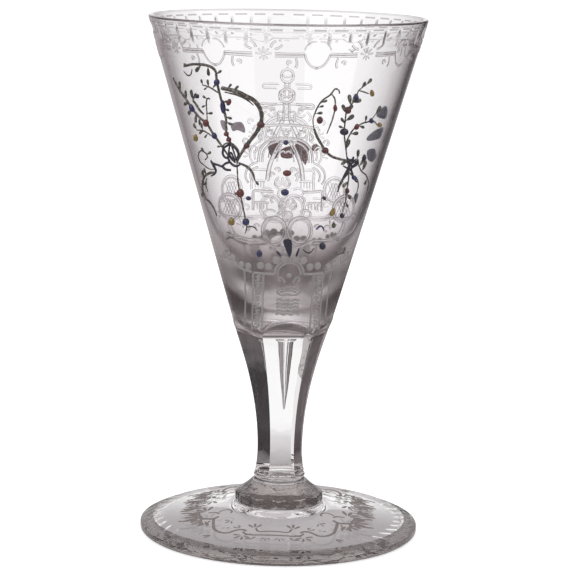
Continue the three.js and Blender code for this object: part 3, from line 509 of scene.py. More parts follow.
def arch_height(turn):
    """Where the facet that faces this turn runs out through the cone."""
    heights = np.linspace(JOINT, ARCH_TOP, 400)
    cut = np.array([facet_radius(height, np.array([turn]))[0] for height in heights[::ARCH_STEP]])
    cut = np.interp(heights, heights[::ARCH_STEP], cut)
    inside = cut < cone_radius(heights - JOINT)
    return heights[inside].max() if inside.any() else JOINT


arch_tops = np.array([arch_height(turn) for turn in joint_turns])


def oval_depth(height):
    """How deep the ovals are at one height, at every turn."""
    pitch = 2 * math.pi / OVALS
    across = np.abs((joint_turns % pitch) - pitch / 2) * cone_radius(height - JOINT)
    up = (height - OVAL_MIDDLE) / OVAL_HALF_HEIGHT
    inside = (across < OVAL_HALF_WIDTH) & (abs(up) < 1)
    return np.where(inside, OVAL_DEPTH * (1 - up**2), 0)


bowl_levels = [pole(JOINT, TEAR_ACROSS)]
cap = level(TEAR_CAP_RADIUS, JOINT, joint_turns)
cap[:, 0] += TEAR_ACROSS * MM
bowl_levels.append(cap)
bowl_levels.append(facet_level(JOINT, BOWL_COLUMNS))
for share in np.linspace(0, 1, 15)[1:]:
    heights = JOINT + share * (arch_tops - JOINT)
    reach = np.array([facet_radius(up, np.array([turn]))[0] for up, turn in zip(heights, joint_turns)])
    bowl_levels.append(level(np.minimum(reach, cone_radius(heights - JOINT)), heights, joint_turns))
for share in np.linspace(0, 1, 6)[1:]:
    heights = arch_tops + share * (ARCH_TOP + ARCH_FADE - arch_tops)
    bowl_levels.append(level(cone_radius(heights - JOINT), heights, joint_turns))
for height in np.concatenate([np.linspace(76, 156, 28), np.linspace(157.6, 163.6, 25), [164.3]]):
    bowl_levels.append(level(cone_radius(height - JOINT) - oval_depth(height), height, joint_turns))
lip = float(cone_radius(RIM - JOINT - LIP_ROUND))
inner_lip = lip - WALL
lip_middle = (lip + inner_lip) / 2
lip_profile = [
    *bend((lip - 0.03, RIM - 0.55), (lip - 0.02, RIM), (lip_middle, RIM), 4),
    *bend((lip_middle, RIM), (inner_lip, RIM), (inner_lip, RIM - LIP_ROUND), 4)[1:],
]
for radius, height in lip_profile:
    bowl_levels.append(level(radius, height, joint_turns))
inside_curve = bend((0, JOINT + BASE), (float(cone_radius(BASE)) - WALL, JOINT + BASE),
                    (float(cone_radius(SWELL)) - WALL, JOINT + SWELL), 34)
for height in np.linspace(RIM - 4, JOINT + SWELL + 3, 14):
    bowl_levels.append(level(cone_radius(height - JOINT) - WALL, height, joint_turns))
for radius, height in inside_curve[:0:-1]:
    bowl_levels.append(level(radius, height, joint_turns))
bowl_levels.append(pole(JOINT + BASE))
# Above the cone's thick base the glass is painted darker in a band, darkest 14 mm above the stem: painted
# shade. The band is rougher too, and light caught inside the cone is a painted glow.
bowl_clear = glass_finish("bowl_glass", [
    (0.12, (0.995, 0.99, 0.995)), (0.5, (0.9, 0.88, 0.89)), (1.0, (0.66, 0.62, 0.635)),
], shade_and_roughness_bands=[
    (JOINT, (1.0, 0.98, 0.985), 0.0),
    (JOINT + 6.5, (1.0, 0.97, 0.975), 0.08),
    (JOINT + 9.5, (0.56, 0.51, 0.5), 0.2),
    (JOINT + 14, (0.32, 0.285, 0.28), 0.25),
    (JOINT + 21, (0.58, 0.54, 0.53), 0.24),
    (JOINT + 32, (0.86, 0.84, 0.845), 0.08),
    (JOINT + 42, (0.98, 0.975, 0.98), 0.0),
    (JOINT + 54, (1.0, 1.0, 1.0), 0.0),
], painted_glow=(0.5, 0.47, 0.475))
# Painted shade: a dark band, darker edge-on, for the tops of the ovals.
cut_edge = glass_finish("cut_edge", [(0.2, (0.36, 0.33, 0.34)), (1.0, (0.2, 0.18, 0.18))], 0.2)
# Painted shade: the lip is dark, darker where seen edge-on and on the way out.
lip_glass = glass_finish("lip_glass", [
    (0.1, (0.2, 0.17, 0.175)), (1.0, (0.1, 0.08, 0.085)),
], leaving=(0.45, 0.42, 0.43))
bowl_finishes = [bowl_clear, fused_join, side_shaded_glass, cut_edge, lip_glass]
WALL_MARK, JOIN_MARK, SIDE_SHADE_MARK, DASH_MARK, LIP_MARK = range(5)
bowl_marks = [WALL_MARK] * (len(bowl_levels) - 1)
bowl_marks[1] = JOIN_MARK
bowl_marks[2:2 + ARCH_BANDS] = [SIDE_SHADE_MARK] * ARCH_BANDS
bowl = closed_skin("bowl_glass", bowl_levels, bowl_finishes, bowl_marks, sharp=9)
# At the sides only, the facets' run-out takes the stem's glass with its painted shade. Painted shade makes a
# dark edge along the tops of the ovals, and a dark band round the lip.
oval_pitch = 2 * math.pi / OVALS
for face in bowl.data.polygons:
    across, forwards, height = face.center / MM
    inwards = cone_radius(height - JOINT) - math.hypot(across, forwards)
    if face.material_index == SIDE_SHADE_MARK and abs(across) < 0.5 * abs(forwards):
        face.material_index = WALL_MARK
    if abs(height - DASH_HEIGHT) < 0.2 and inwards < 0.6:
        from_middle = abs(math.atan2(across, -forwards) % oval_pitch - oval_pitch / 2) / (oval_pitch / 2)
        face.material_index = DASH_MARK if from_middle < DASH_SHARE else WALL_MARK
    if LIP_SHADE_BAND[0] < height < LIP_SHADE_BAND[1] and inwards < OUTSIDE_MARGIN:
        face.material_index = LIP_MARK
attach(bowl, "root")
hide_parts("bowl")

# ENAMEL
# Glass ground to powder, painted on with a brush and fired, so it stands up from the bowl in rounded lines
# and drops. It is drawn flat here, as arc length and height in millimetres, and then wrapped onto the cone.
ENAMEL_SINK = 0.05
TWIG_RELIEF = 0.95
BROAD_TWIG = 1.75
MAIN_TWIG = 1.15
FINE_TWIG = 0.7
STALK = 0.34
STALK_LENGTH = 0.6
LEAF_GROWTH = 1.25
LEAF_WIDTH = 0.58
LEAF_RELIEF = 0.5
PATCH_RELIEF = 0.3
RIBBON_WIDTH = 1.05
RIBBON_RELIEF = 1.1
DROP_MARKS = [("reach", "FLOAT_VECTOR"), ("lean", "FLOAT"), ("leaf", "BOOLEAN")]


def geometry_group(name, inputs, outputs):
    """An empty group of geometry nodes, with its named sockets."""
    tree = bpy.data.node_groups.new(name, "GeometryNodeTree")
    for label, kind in inputs:
        tree.interface.new_socket(label, in_out="INPUT", socket_type="NodeSocket" + kind)
    for label, kind in outputs:
        tree.interface.new_socket(label, in_out="OUTPUT", socket_type="NodeSocket" + kind)
    return tree, tree.nodes.new("NodeGroupInput").outputs, tree.nodes.new("NodeGroupOutput")


def cone_wrap():
    """Takes a flat place (arc, height, relief) to its place on the bowl's outside."""
    given_sockets = [("Flat", "Vector"), ("Turn", "Float")]
    tree, given, result = geometry_group("wrap_on_cone", given_sockets, [("Place", "Vector")])
    tilt = math.atan(WALL_SLOPE)
    along, up, relief = step(tree, "ShaderNodeSeparateXYZ", {0: given["Flat"]}).outputs
    wall = sums(tree, "MULTIPLY_ADD", up, WALL_SLOPE, JOINT_RADIUS * MM)
    angle = sums(tree, "ADD", sums(tree, "DIVIDE", along, wall), given["Turn"])
    reach = sums(tree, "ADD", wall, sums(tree, "MULTIPLY", relief, math.cos(tilt)))
    height = sums(tree, "SUBTRACT", up, sums(tree, "MULTIPLY", relief, math.sin(tilt)))
    place = step(tree, "ShaderNodeCombineXYZ", {
        0: sums(tree, "MULTIPLY", reach, sums(tree, "SINE", angle)),
        1: sums(tree, "MULTIPLY", sums(tree, "MULTIPLY", reach, sums(tree, "COSINE", angle)), -1.0),
        2: sums(tree, "ADD", height, JOINT * MM),
    })
    link_up(tree, (place.outputs[0], result.inputs["Place"]))
    return tree


def foot_lay():
    """Takes a flat place (right, forwards, relief) to its place on the foot's upper side."""
    given_sockets = [("Flat", "Vector"), ("Turn", "Float")]
    tree, given, result = geometry_group("lay_on_foot", given_sockets, [("Place", "Vector")])
    turned = step(tree, "ShaderNodeVectorRotate", {"Vector": given["Flat"], "Angle": given["Turn"]},
                  rotation_type="Z_AXIS")
    right, forwards, relief = step(tree, "ShaderNodeSeparateXYZ", {0: turned.outputs[0]}).outputs
    back = sums(tree, "MULTIPLY", forwards, -1.0)
    above = step(tree, "ShaderNodeCombineXYZ", {0: right, 1: back, 2: 20 * MM})
    under = step(tree, "GeometryNodeObjectInfo", {"Object": foot}).outputs["Geometry"]
    drop = step(tree, "GeometryNodeRaycast", {
        "Target Geometry": under,
        "Source Position": above.outputs[0],
        "Ray Direction": (0, 0, -1),
        "Ray Length": 30 * MM,
    })
    lift = step(tree, "ShaderNodeCombineXYZ", {2: relief}).outputs[0]
    place = step(tree, "ShaderNodeVectorMath", {0: drop.outputs["Hit Position"], 1: lift}, operation="ADD")
    link_up(tree, (place.outputs[0], result.inputs["Place"]))
    return tree


def joined(tree, *parts):
    """Geometry put together, in the order given."""
    whole = step(tree, "GeometryNodeJoinGeometry")
    link_up(tree, *[(part, whole.inputs[0]) for part in parts])
    return whole.outputs[0]


def moved_to(tree, geometry, place):
    """Geometry with each of its points at a place, a socket."""
    return step(tree, "GeometryNodeSetPosition", {"Geometry": geometry, "Position": place}).outputs[0]


def even_curve(tree, drawn, spacing):
    """A drawn line made smooth, with points at an even spacing."""
    smooth = step(tree, "GeometryNodeCurveSplineType", {"Curve": drawn}, spline_type="CATMULL_ROM").outputs[0]
    spaced = step(tree, "GeometryNodeResampleCurve", {"Curve": smooth, "Length": spacing}, mode="LENGTH")
    return spaced.outputs[0]


def relief_tree(name, wrap):
    """Lines swept along drawn strokes, drops on marked spots and filled patches, all laid on the glass."""
    tree, given, result = geometry_group(name, [
        ("Strokes", "Object"), ("Drops", "Object"), ("Patches", "Object"), ("Stroke relief", "Float"),
        ("Unevenness", "Float"), ("Step", "Float"), ("Sink", "Float"), ("Turn", "Float"),
        ("Line material", "Material"), ("Drop material", "Material"),
    ], [("Geometry", "Geometry")])
    # Lines: a round section swept along each stroke, flattened to its relief, a little uneven in width.
    drawn = step(tree, "GeometryNodeObjectInfo", {"Object": given["Strokes"]}).outputs["Geometry"]
    round_section = step(tree, "GeometryNodeCurvePrimitiveCircle", {"Resolution": 10, "Radius": 1.0})
    hand = step(tree, "ShaderNodeTexNoise", {"Scale": 900.0, "Detail": 1.0}).outputs[0]
    wander = sums(tree, "MULTIPLY", sums(tree, "SUBTRACT", hand, 0.95), given["Unevenness"])
    drawn_width = step(tree, "GeometryNodeInputRadius").outputs[0]
    width = sums(tree, "MULTIPLY", drawn_width, sums(tree, "ADD", wander, 1.0))
    swept = step(tree, "GeometryNodeCurveToMesh", {
        "Curve": even_curve(tree, drawn, given["Step"]),
        "Profile Curve": round_section.outputs[0],
        "Scale": width,
        "Fill Caps": True,
    })
    here = step(tree, "GeometryNodeInputPosition").outputs[0]
    flatter = step(tree, "ShaderNodeCombineXYZ", {0: 1.0, 1: 1.0, 2: given["Stroke relief"]}).outputs[0]
    pressed = step(tree, "ShaderNodeVectorMath", {0: here, 1: flatter}, operation="MULTIPLY").outputs[0]
    lines = step(tree, "GeometryNodeSetMaterial", {
        "Geometry": moved_to(tree, swept.outputs[0], pressed), "Material": given["Line material"],
    }).outputs[0]
    # Drops: half-round ones, and leaves that narrow towards their stalk.
    spots = step(tree, "GeometryNodeObjectInfo", {"Object": given["Drops"]}).outputs["Geometry"]
    reach, lean, is_leaf = [
        step(tree, "GeometryNodeInputNamedAttribute", {"Name": label}, data_type=kind).outputs[0]
        for label, kind in DROP_MARKS
    ]
    turned = step(tree, "ShaderNodeCombineXYZ", {2: lean}).outputs[0]
    ball = step(tree, "GeometryNodeMeshUVSphere", {"Segments": 20, "Rings": 10, "Radius": 1.0}).outputs[0]
    across, along, up = step(tree, "ShaderNodeSeparateXYZ", {0: here}).outputs
    narrow = sums(tree, "ADD", 0.72, sums(tree, "MULTIPLY", along, 0.34))
    pinched = step(tree, "ShaderNodeCombineXYZ", {0: sums(tree, "MULTIPLY", across, narrow), 1: along, 2: up})
    leaf = moved_to(tree, ball, pinched.outputs[0])
    not_leaf = step(tree, "FunctionNodeBooleanMath", {0: is_leaf}, operation="NOT").outputs[0]
    drops = []
    for shape, chosen in ((ball, not_leaf), (leaf, is_leaf)):
        drops.append(step(tree, "GeometryNodeInstanceOnPoints", {
            "Points": spots, "Instance": shape, "Selection": chosen, "Rotation": turned, "Scale": reach,
        }).outputs[0])
    # Patches: filled outlines, raised by their relief and cut finely enough to follow the glass.
    outline = step(tree, "GeometryNodeObjectInfo", {"Object": given["Patches"]}).outputs["Geometry"]
    soft = even_curve(tree, outline, given["Step"])
    filled = step(tree, "GeometryNodeFillCurve", {"Curve": soft}, mode="TRIANGLES").outputs[0]
    finer = step(tree, "GeometryNodeSubdivideMesh", {"Mesh": filled, "Level": 2}).outputs[0]
    raised = step(tree, "GeometryNodeExtrudeMesh", {
        "Mesh": finer, "Offset": (0, 0, 1), "Offset Scale": PATCH_RELIEF * MM, "Individual": False,
    }).outputs[0]
    turned_over = step(tree, "GeometryNodeFlipFaces", {"Mesh": finer}).outputs[0]
    shell = joined(tree, raised, turned_over)
    sealed = step(tree, "GeometryNodeMergeByDistance", {"Geometry": shell, "Distance": 0.01 * MM}).outputs[0]
    painted = step(tree, "GeometryNodeSetMaterial", {
        "Geometry": joined(tree, joined(tree, *drops), sealed), "Material": given["Drop material"],
    }).outputs[0]
    # Everything is set a little into the glass and wrapped on it.
    together = joined(tree, painted, lines)
    real = step(tree, "GeometryNodeRealizeInstances", {"Geometry": together}).outputs[0]
    floor_level = step(tree, "ShaderNodeCombineXYZ", {0: -1.0, 1: -1.0, 2: given["Sink"]}).outputs[0]
    seated = step(tree, "ShaderNodeVectorMath", {0: here, 1: floor_level}, operation="MAXIMUM").outputs[0]
    laid = step(tree, "GeometryNodeGroup", node_tree=wrap)
    link_up(tree, (seated, laid.inputs["Flat"]), (given["Turn"], laid.inputs["Turn"]))
    wrapped = moved_to(tree, real, laid.outputs["Place"])
    rounded = step(tree, "GeometryNodeSetShadeSmooth", {"Geometry": wrapped}).outputs[0]
    link_up(tree, (rounded, result.inputs["Geometry"]))
    return tree


on_bowl = relief_tree("relief_on_bowl", cone_wrap())
on_foot = relief_tree("relief_on_foot", foot_lay())


def strokes_object(name, strokes):
    """Drawn lines as (places, widths, closed), with places and widths in millimetres."""
    curve = bpy.data.curves.new(name, "CURVE")
    curve.dimensions = "3D"
    for places, widths, closed in strokes:
        spline = curve.splines.new("POLY")
        spline.points.add(len(places) - 1)
        spline.use_cyclic_u = closed
        for spot, (x, y), width in zip(spline.points, places, np.broadcast_to(widths, len(places))):
            spot.co = (x * MM, y * MM, 0, 1)
            spot.radius = width / 2 * MM
    return placed(name, curve)


def drops_object(name, drops):
    """Spots as (x, y, width, length, lean in radians, relief, leaf or not), in millimetres."""
    mesh = bpy.data.meshes.new(name)
    mesh.from_pydata([(x * MM, y * MM, 0) for x, y, *_ in drops], [], [])
    for label, kind in DROP_MARKS:
        mesh.attributes.new(label, kind, "POINT")
    for i, (_, _, width, length, turn, relief, is_leaf) in enumerate(drops):
        mesh.attributes["reach"].data[i].vector = (width / 2 * MM, length / 2 * MM, relief * MM)
        mesh.attributes["lean"].data[i].value = turn
        mesh.attributes["leaf"].data[i].value = is_leaf
    return placed(name, mesh)


def relief_piece(name, tree, slot, finish, strokes=(), drops=(), patches=(), drop_finish=None,
                 relief=TWIG_RELIEF, uneven=0.5, spacing=0.35, turn=0.0, node=None):
    """One piece of enamel or engraving, made by the nodes of a tree and then kept as a plain mesh."""
    helpers = [
        strokes_object(name + "_strokes", strokes),
        drops_object(name + "_drops", drops),
        strokes_object(name + "_patches", [(places, 0.1, True) for places in patches]),
    ]
    maker = placed(name + "_maker", bpy.data.meshes.new(name + "_maker"))
    made = maker.modifiers.new("relief", "NODES")
    made.node_group = tree
    settings = dict(zip(("Strokes", "Drops", "Patches"), helpers))
    settings.update({
        "Stroke relief": relief, "Unevenness": uneven, "Step": spacing * MM, "Sink": -ENAMEL_SINK * MM,
        "Turn": math.radians(turn), "Line material": finish, "Drop material": drop_finish or finish,
    })
    for item in tree.interface.items_tree:
        if item.in_out == "INPUT":
            made[item.identifier] = settings[item.name]
    maker.update_tag()
    bpy.context.view_layer.update()
    mesh = bpy.data.meshes.new_from_object(maker.evaluated_get(bpy.context.evaluated_depsgraph_get()))
    mesh.name = name
    for extra in (maker, *helpers):
        bpy.data.objects.remove(extra)
    piece = placed(name, mesh)
    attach(piece, "root")
    if node:
        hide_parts(node)


# The body of the enamel: never one even colour, with lighter specks where the powder didn't quite melt.
enamel_body, body_in, body_out = shader_group(
    "enamel_body",
    [
        ("Base", "NodeSocketColor", (0.1, 0.1, 0.1, 1)),
        ("Speck", "NodeSocketColor", (0.5, 0.5, 0.5, 1)),
        ("Speck share", "NodeSocketFloat", 0.4),
        ("Speck size", "NodeSocketFloat", 2400.0),
    ],
    [("Colour", "NodeSocketColor"), ("Roughness", "NodeSocketFloat"), ("Normal", "NodeSocketVector")],
)
body_place = step(enamel_body, "ShaderNodeTexCoord").outputs["Object"]
cloud = step(enamel_body, "ShaderNodeTexNoise", {
    "Vector": body_place, "Scale": body_in.outputs["Speck size"], "Detail": 3.0, "Roughness": 0.7,
}).outputs[0]
specks = ranged(enamel_body, cloud, 0.5, 0.72)
speck_share = sums(enamel_body, "MULTIPLY", specks, body_in.outputs["Speck share"])
speckled = mixed(enamel_body, speck_share, body_in.outputs["Base"], body_in.outputs["Speck"])
pits = step(enamel_body, "ShaderNodeBump", {"Height": cloud, "Strength": 0.25, "Distance": 0.1 * MM})
link_up(
    enamel_body,
    (speckled, body_out.inputs["Colour"]),
    (sums(enamel_body, "MULTIPLY", cloud, 0.6), body_out.inputs["Roughness"]),
    (pits.outputs["Normal"], body_out.inputs["Normal"]),
)


def enamel_finish(name, base, speck, share=0.45, size=2400.0, gloss=0.6):
    """Enamel of one colour, with its specks' colour, share and fineness."""
    finish, tree, shader = new_finish(name, 0.25)
    body = step(tree, "ShaderNodeGroup", {
        "Base": (*base, 1), "Speck": (*speck, 1), "Speck share": share, "Speck size": size,
    }, node_tree=enamel_body)
    shader.inputs["Coat Weight"].default_value = gloss
    shader.inputs["Coat Roughness"].default_value = 0.08
    link_up(
        tree,
        (body.outputs["Colour"], shader.inputs["Base Color"]),
        (body.outputs["Roughness"], shader.inputs["Roughness"]),
        (body.outputs["Normal"], shader.inputs["Normal"]),
    )
    return finish


twig_enamel = enamel_finish("twig_enamel", (0.04, 0.031, 0.024), (0.44, 0.37, 0.31), 0.9, 1300.0)
leaf_enamel = enamel_finish("leaf_enamel", (0.035, 0.033, 0.022), (0.38, 0.36, 0.28), 0.85, 1300.0)
COLOURS = {
    "blue": enamel_finish("blue_enamel", (0.006, 0.007, 0.06), (0.06, 0.08, 0.36), 0.45),
    "red": enamel_finish("red_enamel", (0.1, 0.01, 0.008), (0.34, 0.07, 0.05), 0.5),
    "dark_red": enamel_finish("dark_red_enamel", (0.06, 0.008, 0.007), (0.24, 0.06, 0.045), 0.4),
    "yellow": enamel_finish("yellow_enamel", (0.2, 0.12, 0.015), (0.5, 0.38, 0.1), 0.95),
    "green": enamel_finish("green_enamel", (0.035, 0.04, 0.015), (0.16, 0.17, 0.08), 0.95),
    "dark_blue": enamel_finish("dark_blue_enamel", (0.003, 0.003, 0.02), (0.03, 0.035, 0.14), 0.35),
    "drape_red": enamel_finish("drape_red_enamel", (0.2, 0.035, 0.03), (0.5, 0.24, 0.22), 0.7, 1500.0, 0.2),
    "pale_blue": enamel_finish("pale_blue_enamel", (0.17, 0.2, 0.27), (0.46, 0.5, 0.57), 0.85, 1100.0, 0.3),
    "mauve": enamel_finish("mauve_enamel", (0.36, 0.27, 0.33), (0.66, 0.58, 0.64), 0.7, 1500.0, 0.2),
}


def flat_place(degrees, height):
    """Arc length and height of a place on the cone, from degrees round it and height above the stem."""
    return math.radians(degrees) * float(cone_radius(height)), height


def brushed(width, places):
    """A brush stroke through places on the cone. It starts full, stays so and runs out thin."""
    share = np.linspace(0, 1, len(places))
    widths = width * np.interp(share, [0, 0.12, 0.75, 1], [0.8, 1, 0.9, 0.55])
    return [flat_place(*place) for place in places], widths, False


def enamel_piece(name, colour, **drawn):
    """A piece in one colour, which stands for the node of the same name."""
    relief_piece(name + "_enamel", on_bowl, colour + "_enamel", COLOURS[colour], node=name, **drawn)


# Sprays of bare twigs with leaves. A twig is (width, its places in degrees from the front and height above
# the stem, its leaves). A leaf is (how far along the twig it grows, its turn from the twig's heading, its
# length).
LEFT_TWIGS = [
    (MAIN_TWIG, [(-52, 86), (-45, 87), (-37, 87), (-33, 85.6), (-33, 82), (-32, 76), (-31, 71), (-32, 67),
        (-30, 63), (-28, 58)],
        [(0.05, 160, 1.4), (0.19, -140, 2.4), (0.25, -60, 2.1), (0.35, 115, 1.6), (0.55, 80, 1.3),
         (0.6, 60, 1.3), (0.66, 60, 1.5), (0.7, 70, 1.6)]),
    (BROAD_TWIG, [(-31, 80.4), (-24, 79.7), (-19, 78.4), (-15, 77), (-12.4, 74.3), (-12.2, 71), (-15, 67.4),
        (-20, 63.8), (-25, 60.2), (-28, 57.5)],
        [(0.06, 60, 1.4), (0.12, 50, 1.5)]),
    (FINE_TWIG, [(-29.6, 79.2), (-23.4, 78.5), (-18.6, 77.2), (-15.6, 75.6)], []),
    (MAIN_TWIG, [(-65, 81.7), (-62, 79.1), (-57, 75.7), (-53, 73), (-49, 70.6), (-44, 68.8), (-41, 66),
        (-37, 62.8), (-33, 59.5), (-29, 57.3)],
        [(0.15, 130, 2.2), (0.26, 130, 2.1), (0.3, -130, 2.2), (0.36, -100, 2.4), (0.42, -60, 2.2),
         (0.47, -45, 1.8), (0.82, -130, 1.2)]),
    (FINE_TWIG, [(-33, 78.8), (-38, 80.4), (-42, 80.8)],
        [(0.4, -110, 1.3), (0.6, -70, 1.5), (0.65, 40, 1.1), (0.95, -60, 1.2)]),
    (FINE_TWIG, [(-38.8, 76.6), (-39.9, 76.9), (-41.3, 75.9), (-42, 74), (-42.5, 72.2), (-43.4, 69.6)],
        [(0.15, -80, 1.3), (0.4, -70, 1.3), (0.7, 95, 1.5)]),
    (FINE_TWIG, [(-46.7, 85.4), (-48.2, 83.8), (-50.6, 83.3), (-53.1, 84.4)], []),
    (MAIN_TWIG, [(-51, 75.7), (-49.3, 74.6), (-47.2, 72.8), (-44.8, 71.7)],
        [(0, 90, 2), (0, 140, 2.4)]),
    (FINE_TWIG, [(-53.5, 66.3), (-48.3, 66.4), (-44.7, 65.8), (-41.5, 64.8)],
        [(0.02, 130, 1.8), (0.4, 120, 1.7), (0.45, -145, 1.6), (0.7, -110, 1.4)]),
    (FINE_TWIG, [(-36, 60.5), (-35, 62.6), (-32, 63.4), (-29, 63.2), (-26, 61.2), (-27, 58.6)], []),
    (MAIN_TWIG, [(-46, 53.4), (-50.1, 53.1), (-56.6, 51.7), (-61.2, 49.5), (-64.4, 46.9), (-62.8, 44.4),
        (-58.3, 43.4), (-54.9, 41.7), (-53.4, 39.2)],
        [(0.2, -90, 1.6), (0.32, -140, 2.2), (0.42, 130, 2), (0.5, -60, 1.8)]),
    (FINE_TWIG, [(-54.8, 51.2), (-57.8, 49.1), (-57.7, 46.6)], []),
    (FINE_TWIG, [(-52.3, 57.1), (-49.4, 58.1), (-50, 59.3), (-54.4, 59.8), (-58.3, 58.2), (-58.3, 56.3),
        (-54.7, 55.3), (-50.4, 54.4), (-46, 54.4)],
        [(0.14, -90, 1.6), (0.2, -30, 1.4)]),
    (MAIN_TWIG, [(-27, 57.4), (-22, 56.4), (-19, 54.6), (-18, 52.2)],
        [(0.95, 20, 1.4)]),
    (FINE_TWIG, [(-28, 57.5), (-29, 50.6), (-28, 44.5), (-27, 38.6), (-27, 36.8), (-29, 34.8)],
        [(0.45, -115, 1.4)]),
    (FINE_TWIG, [(-27, 37), (-22, 37.3), (-19, 36.1)], []),
]
RIGHT_TWIGS = [
    (FINE_TWIG, [(24.5, 79.6), (24, 80.6), (22, 81), (20, 79.2), (17, 77.8), (15, 76), (13.6, 73.6),
        (13, 71.4), (14, 68.8)],
        [(0.5, 150, 1.4), (0.6, 130, 1.2), (0.72, 110, 1.6)]),
    (MAIN_TWIG, [(14, 68.8), (16, 66.3), (19, 63.8), (22, 61.6), (26, 60), (31, 59.1), (36, 58.4),
        (38, 56.7)],
        [(0.92, -100, 1.5)]),
    (FINE_TWIG, [(20.4, 79.6), (22.6, 78), (23.4, 75.3), (23, 72), (22, 69.4), (21, 67.2)], []),
    (FINE_TWIG, [(37, 57.5), (34, 62), (31, 67), (30, 71.6), (30, 74.2), (32, 76.2), (34, 78.6), (34.5, 80.4),
        (38, 82)],
        [(0.17, -30, 2.3), (0.42, 75, 1.4), (0.46, 35, 1.7), (0.5, -60, 2.5), (0.58, 35, 2.3),
         (0.6, -35, 2.1), (0.69, 50, 2.5), (0.71, 10, 2.6), (0.73, -40, 2.3), (0.92, 20, 1.8), (1, 10, 1.9)]),
    (FINE_TWIG, [(34.5, 80.4), (38, 79.8), (41, 79.2)], []),
    (FINE_TWIG, [(33, 63.4), (34, 66), (36.5, 68.6), (41, 70), (46, 70.6), (49, 72.4)],
        [(0.25, -50, 2.1), (0.5, -40, 1.7), (0.68, 70, 1.4), (1, 10, 2.5)]),
    (FINE_TWIG, [(46, 70.6), (50, 70.2), (53, 69)], []),
    (MAIN_TWIG, [(33, 57.8), (37, 58.6), (40, 57.6), (43.5, 58.6), (46, 56.6)],
        [(0.75, 60, 2.2)]),
    (MAIN_TWIG, [(39, 58), (39, 55), (36.6, 53.2), (34.6, 51), (34, 48.6)], []),
    (FINE_TWIG, [(39, 55.4), (40.5, 52), (41, 48.3), (42, 45.4), (41.4, 42)],
        [(0.25, -50, 2), (0.55, 50, 2), (0.75, 50, 1.5)]),
    (FINE_TWIG, [(39, 55), (43, 53.4), (48, 52), (50.5, 50), (51, 47.4)], []),
    (FINE_TWIG, [(45, 57.2), (50, 54.6), (56, 53), (62, 50), (64, 46)],
        [(0.08, 100, 2.2), (0.25, 95, 2.7), (0.55, -70, 1.5)]),
]


def along_twig(places, share):
    """The spot at a share of a twig's length, and the twig's heading there."""
    spots = np.array([flat_place(*place) for place in places])
    lengths = np.hypot(*np.diff(spots, axis=0).T)
    reached = np.concatenate([[0], np.cumsum(lengths)])
    goal = share * reached[-1]
    part = min(int(np.searchsorted(reached, goal, side="right")) - 1, len(lengths) - 1)
    ahead = (spots[part + 1] - spots[part]) / lengths[part]
    return spots[part] + ahead * (goal - reached[part]), math.atan2(ahead[1], ahead[0])


def spray_parts(twigs):
    """The strokes of a spray's twigs and stalks, and its leaves as drops."""
    strokes, drops = [], []
    for width, places, leaves in twigs:
        strokes.append(brushed(width, places))
        for share, turn, length in leaves:
            start, heading = along_twig(places, share)
            heading += math.radians(turn)
            towards = np.array([math.cos(heading), math.sin(heading)])
            neck = start + STALK_LENGTH * towards
            length *= LEAF_GROWTH
            middle = neck + 0.45 * length * towards
            strokes.append(([tuple(start), tuple(neck)], STALK, False))
            drops.append((*middle, LEAF_WIDTH * length, length, heading - math.pi / 2, LEAF_RELIEF, True))
    return strokes, drops


for side, twigs in (("left", LEFT_TWIGS), ("right", RIGHT_TWIGS)):
    spray_strokes, spray_drops = spray_parts(twigs)
    relief_piece(side + "_spray_enamel", on_bowl, "twig_enamel", twig_enamel, spray_strokes, spray_drops,
                 drop_finish=leaf_enamel, node=side + "_spray")

# The bows that tie the stems together, painted over them in dark blue with a full brush, and one arm of the
# left spray in the same colour.
BOWS = {
    "left_bow": [
        [(-30.8, 63.1), (-35.1, 61.7), (-36.5, 59.7), (-34.2, 58.6), (-30.9, 60.4), (-29, 57.4)],
        [(-30.3, 62.8), (-27.5, 61.9), (-26.4, 59.8), (-29.6, 58.2), (-32.3, 60.2), (-30.6, 63.2)],
        [(-33.6, 58.8), (-32, 57.1), (-28.9, 56.3), (-25.6, 57)],
        [(-31.9, 57.4), (-35.5, 56.9), (-38.8, 55.8), (-41, 56), (-45.6, 56.4), (-47, 57.2)],
        [(-32.7, 54.9), (-36.2, 54.9), (-38.2, 55.6), (-41, 56)],
        [(-47, 57.2), (-45.8, 56.1), (-44.4, 54), (-47, 52.8), (-50, 52.1)],
        [(-46.4, 56.8), (-45, 55.6), (-43.8, 54.2)],
    ],
    "right_bow": [
        [(33.2, 57.8), (37, 58.6), (41, 58.4), (44.6, 57.4), (41, 56.2), (37.6, 56.1), (34.2, 56.9)],
        [(39, 58), (38.2, 56), (36.4, 53.6), (34.6, 51.1)],
        [(39.6, 56.4), (42, 54.4), (44.9, 52.4), (48.4, 51.2)],
        [(36, 59.4), (38.4, 57.6), (41.4, 56.6), (44.4, 58.6)],
        [(40.4, 59.6), (39.6, 57.4), (40.6, 55)],
    ],
}
for name, ribbons in BOWS.items():
    relief_piece(name, on_bowl, "dark_blue_enamel", COLOURS["dark_blue"],
                 [brushed(RIBBON_WIDTH, places) for places in ribbons], relief=RIBBON_RELIEF)

